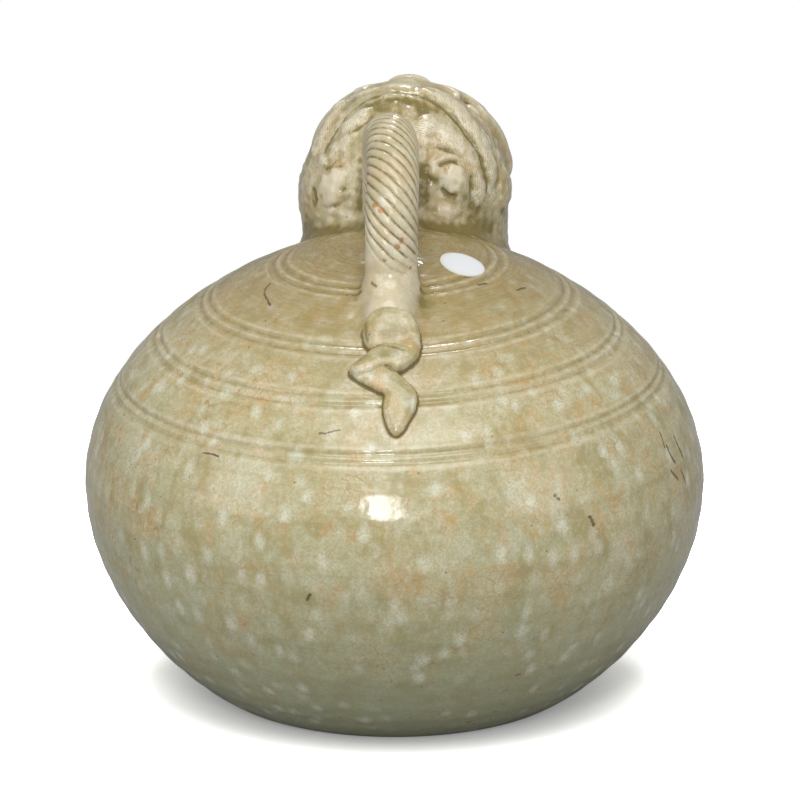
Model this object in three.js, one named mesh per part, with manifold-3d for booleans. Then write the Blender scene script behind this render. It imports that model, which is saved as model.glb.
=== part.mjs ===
// A tiger-shaped urinal of glazed stoneware, in millimetres with +Z up.
// The mouth faces -Y, and the handle and tail are on the +Y side. The origin is the middle of the flat base.
// The potter threw a closed globe, cut a throat in its shoulder, and luted the hollow head, the handle and
// the tail on with slip, then pressed small pieces of clay on the head for its face, ears and mane.
// Each piece of clay is one mesh, and lutingGap is the slip joint between two of them.
import * as THREE from 'three';
import { mergeVertices } from 'three/addons/utils/BufferGeometryUtils.js';
import Module from 'manifold-3d';

const wasm = await Module();
wasm.setup();

const degrees = Math.PI / 180;
const quarterTurn = 90 * degrees;
const halfTurn = 180 * degrees;
const fullTurn = 360 * degrees;
const lutingGap = 0.3;
const cutOverrun = 60; // how far a cutting solid runs past what it cuts
const embedDepth = 3; // how deep an applied piece starts inside its host before it is cut to it

// The thrown globe
const bellyRadius = 112.6;
const bellyHeight = 79;
const shoulderRise = 92; // from the belly up to the closed top
const bodyTop = bellyHeight + shoulderRise;
const baseRadius = 62;
const bodyWall = 7;
const floorThickness = 8;
const lowerWallPower = 0.84; // under 1 makes the wall leave the base steeply
const shoulderRadiusPower = 1.6;
const shoulderHeightPower = 1.97;
const slopeShare = 0.0025; // of the belly's radius, the step over which a slope is measured
const bodySegments = 44;
const liningSegments = 28;
const lowerWallSteps = 10;
const shoulderSteps = 12;
const liningSteps = 8;

// Pairs of turned grooves round the shoulder
const grooveRadiusShares = [0.351, 0.589, 0.749, 0.882];
const groovePairSpacing = 4.4;
const grooveWidth = 2.6;
const grooveDepth = 0.9;

// The hollow head: an upright column closed by a dome, with a short spout in front
const headInset = 46.6; // from the belly's front back to the middle of the head
const headForward = bellyRadius - headInset;
const headRadius = 37.2;
const domeSink = 2; // how far the dome starts below the body's top
const domeStart = bodyTop - domeSink;
const domeRise = 38.5;
const headWall = 6.5;
const throatLedge = 4.7; // left standing inside the head round the throat
const throatRadius = headRadius - headWall - throatLedge;
const throatSegments = 32;
const headSegments = 32;
const domeSteps = 8;
const headTurn = 6 * degrees; // the head was set on slightly turned

// The mouth and its rolled lip
const mouthSetback = 9.2; // from the front of the head's column back to the middle of the mouth
const mouthForward = headForward + headRadius - mouthSetback;
const mouthRise = 3; // of its middle above the start of the dome
const mouthHeight = domeStart + mouthRise;
const mouthTilt = 25 * degrees;
const spoutInset = 2.6; // how much narrower the spout is than the head
const spoutRadius = headRadius - spoutInset;
const spoutWall = 7.1;
const spoutBore = spoutRadius - spoutWall;
const lipWidth = 9.5;
const lipDepth = 8;
const lipProud = 2.2; // how far the lip stands out past the spout
const lipSegments = 30;
const lipSteps = 10;

// The coil of clay pressed into the corner round the back of the neck
const neckCoilWidth = 10;
const neckCoilHeight = 10;
const neckCoilReach = 118 * degrees; // each way from the back
const neckCoilSteps = 18;

// The twisted handle
const handleRadius = 9.3;
const handleBack = 38; // from the body's axis back to the bar's foot
const handleOffset = 6.8; // from the back of the head to the middle of the bar in front
const handleFront = headForward - headRadius - handleOffset;
const handlePost = 9; // how far the arch springs above the body's top
const handleSpring = bodyTop + handlePost;
const handleRise = 28.8;
const napeRise = 5.4; // of the bar's front end above the shoulder that it comes down to
const handleFrontEnd = shoulderHeight(headForward - headRadius) + napeRise;
const handleSideways = 4; // how far its front end was set to one side
const archSteps = 8;
const fluteCount = 8;
const fluteDepth = 0.95;
const fluteSharpness = 3;
const pointsPerFlute = 4;
const twistLength = 40; // of bar to one whole turn
const fadeLength = 24; // over which the flutes die out above the foot
const smoothFootLength = 22;
const handleSteps = 28;

// The clay smeared round the handle's two ends
const footRadius = 15.5;
const footHeight = 11;
const napePadHalfWidth = 14.5;
const napePadHalfHeight = 12;
const napePadDepth = 8;
const padSegments = 20;
const padSteps = 4;

// The tail: a flattened coil laid down in three folds from the handle's foot. Each fold gives its two ends
// as shares of tailWidth across and of tailLength down from tailStart, then its width and thickness shares.
const tailOverlap = 2.3; // how far the tail starts inside the bar's foot
const tailStart = handleBack + handleRadius - tailOverlap;
const tailMargin = 17.6; // from its tip to the widest part of the belly, seen from above
const tailLength = bellyRadius - tailStart - tailMargin;
const tailWidth = 21;
const tailThickness = 5.6;
const tailFoldShares = [
  { from: [-0.1, 0], to: [-0.2, 0.62], width: 1, thickness: 1 },
  { from: [-0.42, 0.54], to: [0.6, 0.6], width: 0.72, thickness: 0.8 },
  { from: [-0.3, 0.56], to: [-0.32, 1], width: 0.6, thickness: 0.72 },
];
const foldSteps = 8;

// The ears
const earHalfWidth = 6.2;
const earHalfHeight = 7.6;
const earRise = 6;
const earSpread = 40 * degrees; // from the back of the head
const earClimb = 12 * degrees;
const earHollowRadius = 3.4;
const earHollowDepth = 3;

// The combed mane from ear to ear over the crown, and the knot in front of it
const maneWidth = 11;
const maneThickness = 2.2;
const maneLean = 17 * degrees;
const maneReach = 78 * degrees;
const maneSteps = 14;
const knotHalfWidth = 8.5;
const knotHalfLength = 5;
const knotRise = 4;

// Eyes and brows
const eyeRadius = 4.6;
const eyeRise = 3.4;
const eyeClimb = 50 * degrees;
const eyeSwing = 96 * degrees; // from the back of the head
const pupilRadius = 1.3;
const pupilDepth = 1.4;
const browWidth = 3.6;
const browThickness = 2;
const browLean = 5 * degrees;
const browInner = 10 * degrees;
const browOuter = 46 * degrees;
const browSteps = 7;

// Nose, whisker pads and fangs, on the lip
const noseHalfWidth = 7;
const noseHalfHeight = 4.6;
const noseRise = 4.2;
const whiskerWidth = 6.4;
const whiskerThickness = 3;
const whiskerInner = 18 * degrees; // round the mouth from its top
const whiskerOuter = 62 * degrees;
const whiskerSteps = 8;
const fangLength = 8;
const fangRadius = 2.6;
const fangSpread = 34 * degrees; // from the top or bottom of the mouth
const fangSteps = 4;

const smallSegments = 12;
const rollSteps = 5;
const rollEndShare = 0.3;
const rollEndPower = 0.55;

const across = new THREE.Vector3(1, 0, 0);
const up = new THREE.Vector3(0, 0, 1);
const mouthAxis = new THREE.Vector3(0, -Math.cos(mouthTilt), Math.sin(mouthTilt));
const mouthUp = new THREE.Vector3(0, Math.sin(mouthTilt), Math.cos(mouthTilt));
const mouthCentre = new THREE.Vector3(0, -mouthForward, mouthHeight);
const headCentre = new THREE.Vector3(0, -headForward, domeStart);

// A closed geometry as a solid, whichever way its faces were wound
function solidOf(geometry) {
  const bare = geometry.clone();
  bare.deleteAttribute('normal');
  bare.deleteAttribute('uv');
  const merged = mergeVertices(bare);
  const corners = merged.index.array;
  const kept = [];
  for (let i = 0; i < corners.length; i += 3) {
    const [a, b, c] = corners.slice(i, i + 3);
    if (a !== b && b !== c && c !== a) kept.push(a, b, c);
  }
  const build = (triangles) => new wasm.Manifold(new wasm.Mesh({
    numProp: 3,
    vertProperties: new Float32Array(merged.attributes.position.array),
    triVerts: new Uint32Array(triangles),
  }));
  const solid = build(kept);
  return solid.volume() > 0 ? solid : build(kept.reverse());
}

function geometryOf(solid) {
  const mesh = solid.getMesh();
  const geometry = new THREE.BufferGeometry();
  geometry.setAttribute('position', new THREE.BufferAttribute(mesh.vertProperties, 3));
  geometry.setIndex(new THREE.BufferAttribute(mesh.triVerts, 1));
  geometry.computeVertexNormals();
  return geometry;
}

// What is left of a piece after its neighbours are cut from it, without the crumbs
function trimmed(solid, ...neighbours) {
  const rest = neighbours.reduce((left, neighbour) => left.subtract(neighbour), solid);
  return rest.decompose().reduce((best, piece) => (piece.volume() > best.volume() ? piece : best));
}

function joined(...solids) {
  return solids.reduce((whole, solid) => whole.add(solid));
}

// Joins rings of points, all with as many points, into one closed solid
function loft(rings) {
  const perRing = rings[0].length;
  const positions = rings.flat().flatMap((point) => [point.x, point.y, point.z]);
  const index = [];
  for (let i = 0; i + 1 < rings.length; i++) {
    for (let j = 0; j < perRing; j++) {
      const a = i * perRing + j;
      const b = i * perRing + ((j + 1) % perRing);
      index.push(a, b, b + perRing, a, b + perRing, a + perRing);
    }
  }
  for (const ring of [0, rings.length - 1]) {
    const centre = new THREE.Vector3();
    for (const point of rings[ring]) centre.addScaledVector(point, 1 / perRing);
    const middle = positions.length / 3;
    positions.push(centre.x, centre.y, centre.z);
    for (let j = 0; j < perRing; j++) {
      const a = ring * perRing + j;
      const b = ring * perRing + ((j + 1) % perRing);
      index.push(...(ring === 0 ? [middle, b, a] : [middle, a, b]));
    }
  }
  const geometry = new THREE.BufferGeometry();
  geometry.setAttribute('position', new THREE.Float32BufferAttribute(positions, 3));
  geometry.setIndex(index);
  return solidOf(geometry);
}

// The frame of a piece that stands on a point, with its axis along a direction and one side level
function standing(point, axis) {
  const z = axis.clone().normalize();
  const level = Math.abs(z.x) > Math.cos(quarterTurn / 3) ? up : across;
  const y = new THREE.Vector3().crossVectors(z, level).normalize();
  const x = new THREE.Vector3().crossVectors(y, z);
  return new THREE.Matrix4().makeBasis(x, y, z).setPosition(point);
}

// A turned solid: its profile gives [radius, height] from one end of its axis to the other
function turned(profile, segments, point = new THREE.Vector3(), axis = up) {
  const outline = profile.map(([radius, height]) => new THREE.Vector2(Math.max(radius, 0), height));
  const lathe = new THREE.LatheGeometry(outline, segments).rotateX(quarterTurn);
  return solidOf(lathe.applyMatrix4(standing(point, axis)));
}

function cylinder(radius, from, to, segments, point, axis) {
  return turned([[0, from], [radius, from], [radius, to], [0, to]], segments, point, axis);
}

// A rounded lump, half sunk in its host at a spot of its surface
function lump(spot, halfWidth, halfHeight, rise) {
  const sphere = new THREE.SphereGeometry(1, smallSegments, smallSegments / 2);
  sphere.scale(halfWidth, halfHeight, rise);
  return solidOf(sphere.applyMatrix4(standing(spot.point, spot.normal)));
}

// A roll of clay laid along spots of its host's surface, thinned towards both ends
function roll(spots, width, thickness, grow = 0) {
  const last = spots.length - 1;
  const rings = spots.map(({ point, normal }, i) => {
    const before = spots[Math.max(i - 1, 0)].point;
    const after = spots[Math.min(i + 1, last)].point;
    const along = new THREE.Vector3().subVectors(after, before).normalize();
    const side = new THREE.Vector3().crossVectors(along, normal).normalize();
    const swell = Math.pow(Math.abs(Math.sin((i / last) * halfTurn)), rollEndPower);
    const size = rollEndShare + (1 - rollEndShare) * swell;
    const half = (width / 2) * size + grow;
    const place = (sideways, lift) =>
      point.clone().addScaledVector(side, sideways).addScaledVector(normal, lift);
    const ring = [place(-half, -embedDepth)];
    for (let j = 0; j <= rollSteps; j++) {
      const turn = (j / rollSteps) * halfTurn;
      ring.push(place(-half * Math.cos(turn), (thickness * size + grow) * Math.sin(turn)));
    }
    ring.push(place(half, -embedDepth));
    return ring;
  });
  return loft(rings);
}

function lowerWallRadius(height) {
  const below = 1 - height / bellyHeight;
  return baseRadius + (bellyRadius - baseRadius) * Math.pow(1 - below * below, lowerWallPower);
}

function shoulderHeight(radius) {
  const share = Math.min(radius / bellyRadius, 1);
  const rise = Math.pow(1 - Math.pow(share, shoulderRadiusPower), 1 / shoulderHeightPower);
  return bellyHeight + shoulderRise * rise;
}

// A point moved off the line from one point to the next, outwards as the wall climbs
function offsetPoint(point, from, to, offset) {
  const along = new THREE.Vector2().subVectors(to, from).normalize();
  return [point.x + offset * along.y, point.y - offset * along.x];
}

function lowerWallPoint(height, offset) {
  const step = slopeShare * bellyRadius;
  const low = Math.max(height - step, 0);
  const at = (z) => new THREE.Vector2(lowerWallRadius(z), z);
  return offsetPoint(at(height), at(low), at(low + step), offset);
}

function shoulderPoint(radius, offset) {
  const step = slopeShare * bellyRadius;
  const outer = Math.min(radius + step, bellyRadius);
  const at = (r) => new THREE.Vector2(r, shoulderHeight(r));
  return offsetPoint(at(radius), at(outer), at(Math.max(outer - 2 * step, 0)), offset);
}

// The globe's wall from its base to its closed top, moved out along its normal by offset
function wallProfile(offset, lowerSteps, upperSteps) {
  const lower = [];
  for (let i = 0; i <= lowerSteps; i++) {
    lower.push(lowerWallPoint(bellyHeight * (1 - Math.cos((i / lowerSteps) * quarterTurn)), offset));
  }
  const upper = [];
  for (let i = 1; i < upperSteps; i++) {
    upper.push(shoulderPoint(bellyRadius * Math.cos((i / upperSteps) * quarterTurn), offset));
  }
  return [lower, upper];
}

// The globe filled in and moved out by offset, which cuts what is seated on it
function filledGlobe(offset) {
  const profile = wallProfile(offset, lowerWallSteps, shoulderSteps).flat();
  return turned([[0, -offset], [profile[0][0], -offset], ...profile, [0, bodyTop + offset]], bodySegments);
}

function groovedShoulder() {
  const grooves = grooveRadiusShares.flatMap((share) => {
    const middle = share * bellyRadius;
    return [middle + groovePairSpacing / 2, middle - groovePairSpacing / 2];
  });
  const marks = grooves.flatMap((groove) => [
    shoulderPoint(groove + grooveWidth / 2, 0),
    shoulderPoint(groove, -grooveDepth),
    shoulderPoint(groove - grooveWidth / 2, 0),
  ]);
  const clear = ([radius]) => grooves.every((groove) => Math.abs(radius - groove) > grooveWidth);
  const upper = wallProfile(0, lowerWallSteps, shoulderSteps)[1].filter(clear);
  return [...upper, ...marks].sort((a, b) => b[0] - a[0]);
}

function makeBody() {
  const lower = wallProfile(0, lowerWallSteps, shoulderSteps)[0];
  const outside = turned([[0, 0], ...lower, ...groovedShoulder(), [0, bodyTop]], bodySegments);
  const lining = wallProfile(-bodyWall, liningSteps, liningSteps).flat();
  const wall = lining.filter((point) => point[1] > floorThickness);
  const inside = turned(
    [[0, floorThickness], [wall[0][0] - bodyWall / 2, floorThickness], ...wall, [0, bodyTop - bodyWall]],
    liningSegments,
  );
  const throat = cylinder(throatRadius, -cutOverrun, cutOverrun, throatSegments, headCentre, up);
  return trimmed(outside, inside, throat);
}

// The head's column and dome, filled in and moved out by offset
function filledSkull(offset) {
  const profile = [[0, -2 * cutOverrun], [headRadius + offset, -2 * cutOverrun]];
  for (let i = 0; i < domeSteps; i++) {
    const angle = (i / domeSteps) * quarterTurn;
    profile.push([(headRadius + offset) * Math.cos(angle), (domeRise + offset) * Math.sin(angle)]);
  }
  profile.push([0, domeRise + offset]);
  return turned(profile, headSegments, headCentre, up);
}

// A cylinder on the mouth's axis that starts inside the head
function mouthCylinder(radius, to) {
  return cylinder(radius, -cutOverrun / 2, to, headSegments, mouthCentre, mouthAxis);
}

function filledHead(offset) {
  return joined(filledSkull(offset), mouthCylinder(spoutRadius + offset, -lipDepth / 2 + offset));
}

function makeHead() {
  const outside = filledHead(0);
  const front = cylinder(cutOverrun, -lipDepth / 2, cutOverrun, headSegments, mouthCentre, mouthAxis);
  const hollow = filledSkull(-headWall);
  return trimmed(outside, hollow, mouthCylinder(spoutBore, cutOverrun), front, filledGlobe(lutingGap));
}

function lipMiddle() {
  return spoutRadius + lipProud - lipWidth / 2;
}

// The lip: a flattened round section turned about the mouth's axis
function lipRing(grow) {
  const profile = [];
  for (let i = 0; i <= lipSteps; i++) {
    const angle = (i / lipSteps) * fullTurn;
    profile.push([
      lipMiddle() + (lipWidth / 2 + grow) * Math.cos(angle),
      (lipDepth / 2 + grow) * Math.sin(angle),
    ]);
  }
  return turned(profile, lipSegments, mouthCentre, mouthAxis);
}

function makeLip() {
  const seat = lutingGap - lipDepth / 2;
  const behind = cylinder(cutOverrun, -cutOverrun, seat, headSegments, mouthCentre, mouthAxis);
  return trimmed(lipRing(0), behind);
}

// A hollow-faced coil round the back of the neck, in the corner between the head and the shoulder
function neckCoil(grow) {
  const rings = [];
  for (let i = 0; i <= neckCoilSteps; i++) {
    const angle = (2 * (i / neckCoilSteps) - 1) * neckCoilReach;
    const size = Math.sqrt(Math.sin(((i + 1) / (neckCoilSteps + 2)) * halfTurn));
    const width = neckCoilWidth * size + grow;
    const height = neckCoilHeight * size + grow;
    const place = (outward, rise) => {
      const x = Math.sin(angle) * (headRadius + outward);
      const y = Math.cos(angle) * (headRadius + outward) - headForward;
      return new THREE.Vector3(x, y, shoulderHeight(Math.hypot(x, y)) + rise);
    };
    const ring = [place(width, -embedDepth), place(-embedDepth, -embedDepth), place(-embedDepth, height)];
    for (let j = 0; j <= padSteps; j++) {
      const turn = (j / padSteps) * quarterTurn;
      ring.push(place(
        2 * lutingGap + width * (1 - Math.cos(turn)),
        2 * lutingGap + height * (1 - Math.sin(turn)),
      ));
    }
    rings.push(ring);
  }
  return loft(rings);
}

function makeNeckCoil() {
  return trimmed(neckCoil(0), filledHead(lutingGap), filledGlobe(lutingGap));
}

// The handle's middle line: up from the shoulder, over in a half round, and down the back of the head
function handleLine() {
  const middle = (handleBack - handleFront) / 2;
  const half = (handleBack + handleFront) / 2;
  const foot = shoulderHeight(handleBack) - embedDepth;
  const sideways = (y) => (handleSideways * (handleBack - y)) / (2 * half);
  const points = [
    new THREE.Vector3(0, handleBack, foot),
    new THREE.Vector3(0, handleBack, (foot + handleSpring) / 2),
  ];
  for (let i = 0; i <= archSteps; i++) {
    const angle = (i / archSteps) * halfTurn;
    const y = middle + half * Math.cos(angle);
    points.push(new THREE.Vector3(sideways(y), y, handleSpring + handleRise * Math.sin(angle)));
  }
  points.push(new THREE.Vector3(handleSideways, -handleFront, handleFrontEnd));
  return new THREE.CatmullRomCurve3(points);
}

// A round bar that was fluted lengthwise and then twisted, left smooth above its foot
function handleBar(grow) {
  const line = handleLine();
  const length = line.getLength();
  const perRing = fluteCount * pointsPerFlute;
  const rings = [];
  let twist = 0;
  for (let i = 0; i <= handleSteps; i++) {
    const point = line.getPointAt(i / handleSteps);
    const along = line.getTangentAt(i / handleSteps);
    const side = new THREE.Vector3().crossVectors(along, across).normalize();
    const flat = new THREE.Vector3().crossVectors(side, along);
    const distance = (i / handleSteps) * length;
    const fluted = THREE.MathUtils.smoothstep(distance, smoothFootLength, smoothFootLength + fadeLength);
    twist += (fluted * fullTurn * length) / (handleSteps * twistLength);
    const ring = [];
    for (let j = 0; j < perRing; j++) {
      const angle = (j / perRing) * fullTurn;
      const dip = Math.pow(Math.abs(Math.cos((angle * fluteCount) / 2)), fluteSharpness);
      const radius = handleRadius + grow - fluteDepth * fluted * dip;
      ring.push(
        point.clone()
          .addScaledVector(side, radius * Math.cos(angle - twist))
          .addScaledVector(flat, radius * Math.sin(angle - twist)),
      );
    }
    rings.push(ring);
  }
  return loft(rings);
}

function makeHandle() {
  return trimmed(handleBar(0), filledGlobe(lutingGap), filledHead(lutingGap), neckCoil(lutingGap));
}

// A smear of clay round the handle's foot: wide and thin below, and rising along the bar
function handleFoot(grow) {
  const profile = [[0, -embedDepth], [footRadius + grow, -embedDepth]];
  for (let i = 0; i <= padSteps; i++) {
    const turn = (i / padSteps) * quarterTurn;
    profile.push([
      footRadius + grow - (footRadius - handleRadius) * Math.sin(turn),
      grow + footHeight * (1 - Math.cos(turn)),
    ]);
  }
  profile.push([0, footHeight + grow]);
  const point = new THREE.Vector3(0, handleBack, shoulderHeight(handleBack));
  return turned(profile, padSegments, point, shoulderNormal(handleBack));
}

function makeHandleFoot() {
  return trimmed(handleFoot(0), handleBar(lutingGap), filledGlobe(lutingGap), tailFolds(lutingGap));
}

// A rounded pad round the bar's front end, on the back of the head
function napePad(grow) {
  const around = Math.asin(handleSideways / headRadius);
  const spot = headSpot(new THREE.Vector3(Math.sin(around), Math.cos(around), 0));
  spot.point.z = handleFrontEnd + embedDepth;
  const level = { point: spot.point, normal: spot.normal };
  return lump(level, napePadHalfWidth + grow, napePadHalfHeight + grow, napePadDepth + grow);
}

function makeNapePad() {
  const hosts = [handleBar(lutingGap), filledHead(lutingGap), filledGlobe(lutingGap), neckCoil(lutingGap)];
  return trimmed(napePad(0), ...hosts);
}

function shoulderNormal(radius) {
  const step = slopeShare * bellyRadius;
  const slope = (shoulderHeight(radius - step) - shoulderHeight(radius + step)) / (2 * step);
  return new THREE.Vector3(0, slope, 1).normalize();
}

// A spot of the shoulder behind the axis, x to one side and back from it
function shoulderSpot(x, back) {
  const radius = Math.hypot(x, back);
  const normal = shoulderNormal(radius).applyAxisAngle(up, -Math.atan2(x, back));
  return { point: new THREE.Vector3(x, back, shoulderHeight(radius)), normal };
}

function tailFolds(grow) {
  const folds = tailFoldShares.map(({ from, to, width, thickness }) => {
    const spots = [];
    for (let i = 0; i <= foldSteps; i++) {
      const [sideways, down] = [0, 1].map((k) => THREE.MathUtils.lerp(from[k], to[k], i / foldSteps));
      spots.push(shoulderSpot(sideways * tailWidth, tailStart + down * tailLength));
    }
    return roll(spots, width * tailWidth, thickness * tailThickness, grow);
  });
  return joined(...folds);
}

function makeTail() {
  return trimmed(tailFolds(0), handleBar(lutingGap), filledGlobe(lutingGap));
}

// Where a line from the middle of the head leaves its surface
function headSpot(direction) {
  const flat = Math.hypot(direction.x, direction.y);
  if (direction.z <= 0) {
    const point = direction.clone().multiplyScalar(headRadius / flat).add(headCentre);
    return { point, normal: new THREE.Vector3(direction.x, direction.y, 0).normalize() };
  }
  const reach = 1 / Math.hypot(flat / headRadius, direction.z / domeRise);
  const offset = direction.clone().multiplyScalar(reach);
  const normal = new THREE.Vector3(
    offset.x / (headRadius * headRadius),
    offset.y / (headRadius * headRadius),
    offset.z / (domeRise * domeRise),
  ).normalize();
  return { point: offset.add(headCentre), normal };
}

function towards(around, climb) {
  return new THREE.Vector3(
    Math.sin(around) * Math.cos(climb),
    Math.cos(around) * Math.cos(climb),
    Math.sin(climb),
  );
}

// Spots over the crown from one side to the other, in a plane that leans back
function crownSpots(lean, from, to, steps, turn) {
  const spots = [];
  for (let i = 0; i <= steps; i++) {
    const angle = THREE.MathUtils.lerp(from, to, i / steps);
    const direction = new THREE.Vector3(
      Math.sin(angle) * Math.cos(lean),
      Math.sin(lean),
      Math.cos(angle) * Math.cos(lean),
    );
    spots.push(headSpot(direction.applyAxisAngle(up, turn)));
  }
  return spots;
}

function earLump(side, grow) {
  const spot = headSpot(towards(headTurn + side * earSpread, earClimb));
  return lump(spot, earHalfWidth + grow, earHalfHeight + grow, earRise + grow);
}

function makeEar(side) {
  const spot = headSpot(towards(headTurn + side * earSpread, earClimb));
  const floor = earRise - earHollowDepth;
  const ceiling = earRise + earHollowDepth;
  const hollow = cylinder(earHollowRadius, floor, ceiling, smallSegments, spot.point, spot.normal);
  return trimmed(earLump(side, 0), hollow, filledHead(lutingGap), neckCoil(lutingGap), napePad(lutingGap));
}

function mane(grow) {
  const spots = crownSpots(maneLean, -maneReach, maneReach, maneSteps, -headTurn);
  return roll(spots, maneWidth, maneThickness, grow);
}

function makeMane() {
  return trimmed(mane(0), filledHead(lutingGap), earLump(1, lutingGap), earLump(-1, lutingGap));
}

function crestKnot(grow) {
  const spot = headSpot(up);
  return lump(spot, knotHalfWidth + grow, knotHalfLength + grow, knotRise + grow);
}

function makeCrestKnot() {
  return trimmed(crestKnot(0), filledHead(lutingGap), mane(lutingGap), lipRing(lutingGap));
}

function eyeSpot(side) {
  return headSpot(towards(side * eyeSwing, eyeClimb));
}

function eyeLump(side, grow) {
  return lump(eyeSpot(side), eyeRadius + grow, eyeRadius + grow, eyeRise + grow);
}

function makeEye(side) {
  const { point, normal } = eyeSpot(side);
  const floor = eyeRise - pupilDepth;
  const pupil = cylinder(pupilRadius, floor, eyeRise + pupilDepth, smallSegments, point, normal);
  return trimmed(eyeLump(side, 0), pupil, filledHead(lutingGap), mane(lutingGap), lipRing(lutingGap));
}

function makeBrow(side) {
  const spots = crownSpots(browLean, side * browInner, side * browOuter, browSteps, 0);
  const hosts = [filledHead(lutingGap), mane(lutingGap), crestKnot(lutingGap), eyeLump(side, lutingGap)];
  return trimmed(roll(spots, browWidth, browThickness), ...hosts, lipRing(lutingGap));
}

// A spot on the front of the lip, round the mouth from its top
function lipSpot(angle) {
  const point = mouthCentre.clone()
    .addScaledVector(mouthUp, lipMiddle() * Math.cos(angle))
    .addScaledVector(across, lipMiddle() * Math.sin(angle))
    .addScaledVector(mouthAxis, lipDepth / 2);
  return { point, normal: mouthAxis };
}

function noseLump(grow) {
  return lump(lipSpot(0), noseHalfWidth + grow, noseHalfHeight + grow, noseRise + grow);
}

function makeNose() {
  return trimmed(noseLump(0), lipRing(lutingGap));
}

function makeWhiskerPad(side) {
  const spots = [];
  for (let i = 0; i <= whiskerSteps; i++) {
    spots.push(lipSpot(side * THREE.MathUtils.lerp(whiskerInner, whiskerOuter, i / whiskerSteps)));
  }
  return trimmed(roll(spots, whiskerWidth, whiskerThickness), lipRing(lutingGap), noseLump(lutingGap));
}

// A curved cone that hangs from the upper lip or stands on the lower one
function makeFang(side, jaw) {
  const angle = jaw > 0 ? side * fangSpread : halfTurn - side * fangSpread;
  const inner = lipMiddle() - lipWidth / 2;
  const root = mouthCentre.clone()
    .addScaledVector(mouthUp, (inner + embedDepth) * Math.cos(angle))
    .addScaledVector(across, (inner + embedDepth) * Math.sin(angle));
  const profile = [[0, 0]];
  for (let i = 0; i < fangSteps; i++) {
    const climb = i / fangSteps;
    profile.push([fangRadius * Math.sqrt(1 - climb), climb * (fangLength + embedDepth)]);
  }
  profile.push([0, fangLength + embedDepth]);
  const tooth = turned(profile, smallSegments, root, mouthUp.clone().multiplyScalar(-jaw));
  return trimmed(tooth, lipRing(lutingGap));
}

const celadon = 0xa9a98a;
const paleGlaze = 0xb9b79a;
const brownGlaze = 0x97886a;
const glazeRoughness = 0.22;

function glazed(name, solid, colour = celadon) {
  const finish = { color: colour, roughness: glazeRoughness, metalness: 0 };
  const material = new THREE.MeshStandardMaterial(finish);
  const mesh = new THREE.Mesh(geometryOf(solid), material);
  mesh.name = name;
  return mesh;
}

const group = new THREE.Group();
group.add(
  glazed('body', makeBody()),
  glazed('head', makeHead()),
  glazed('mouth_lip', makeLip(), paleGlaze),
  glazed('neck_coil', makeNeckCoil(), brownGlaze),
  glazed('handle', makeHandle()),
  glazed('handle_foot', makeHandleFoot()),
  glazed('nape_pad', makeNapePad()),
  glazed('tail', makeTail(), paleGlaze),
  glazed('mane', makeMane(), brownGlaze),
  glazed('crest_knot', makeCrestKnot()),
  glazed('nose', makeNose(), paleGlaze),
);
for (const [hand, side] of [['left', 1], ['right', -1]]) {
  group.add(
    glazed(`ear_${hand}`, makeEar(side)),
    glazed(`eye_${hand}`, makeEye(side), paleGlaze),
    glazed(`brow_${hand}`, makeBrow(side), brownGlaze),
    glazed(`whisker_pad_${hand}`, makeWhiskerPad(side)),
    glazed(`fang_upper_${hand}`, makeFang(side, 1), paleGlaze),
    glazed(`fang_lower_${hand}`, makeFang(side, -1), paleGlaze),
  );
}

export default group;
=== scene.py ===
import copy
import math
from functools import partial

import bpy
import numpy as np
import openvdb
from bpy.props import FloatProperty, FloatVectorProperty, IntProperty, PointerProperty
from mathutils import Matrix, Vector


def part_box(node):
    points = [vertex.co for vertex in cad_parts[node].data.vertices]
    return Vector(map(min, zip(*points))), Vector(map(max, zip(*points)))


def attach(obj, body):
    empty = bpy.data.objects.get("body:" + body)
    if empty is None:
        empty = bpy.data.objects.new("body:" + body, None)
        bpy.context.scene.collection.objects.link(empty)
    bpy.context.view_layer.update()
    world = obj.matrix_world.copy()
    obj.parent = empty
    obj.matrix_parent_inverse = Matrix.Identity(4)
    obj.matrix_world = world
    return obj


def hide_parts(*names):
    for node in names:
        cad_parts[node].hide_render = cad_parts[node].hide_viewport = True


bl_info = {
    "name": "Tiger Urinal Clay and Glaze",
    "version": (1, 0, 0),
    "blender": (4, 5, 0),
    "location": "View3D > Sidebar > Urinal",
    "description": "Models the thrown globe, tiger head, twisted handle and folded tail, and glazes them",
    "category": "Object",
}

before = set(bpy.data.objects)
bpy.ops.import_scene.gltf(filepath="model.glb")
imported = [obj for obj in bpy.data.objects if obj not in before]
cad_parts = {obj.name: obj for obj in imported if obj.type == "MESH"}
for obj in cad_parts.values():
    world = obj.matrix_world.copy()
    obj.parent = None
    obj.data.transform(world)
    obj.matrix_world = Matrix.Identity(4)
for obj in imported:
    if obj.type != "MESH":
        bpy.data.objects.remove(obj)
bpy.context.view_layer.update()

MM = 0.001

# The photograph: its camera and the scale of its picture
PICTURE_WIDTH = 800
PIXEL = 0.36526  # millimetres to one pixel at the vessel's axis
AXIS_PIXEL = (394.5, 683.5)  # where the middle of the base would lie in the picture
CAMERA_AZIMUTH = math.radians(183.6)
CAMERA_ELEVATION = math.radians(17.5)

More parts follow.
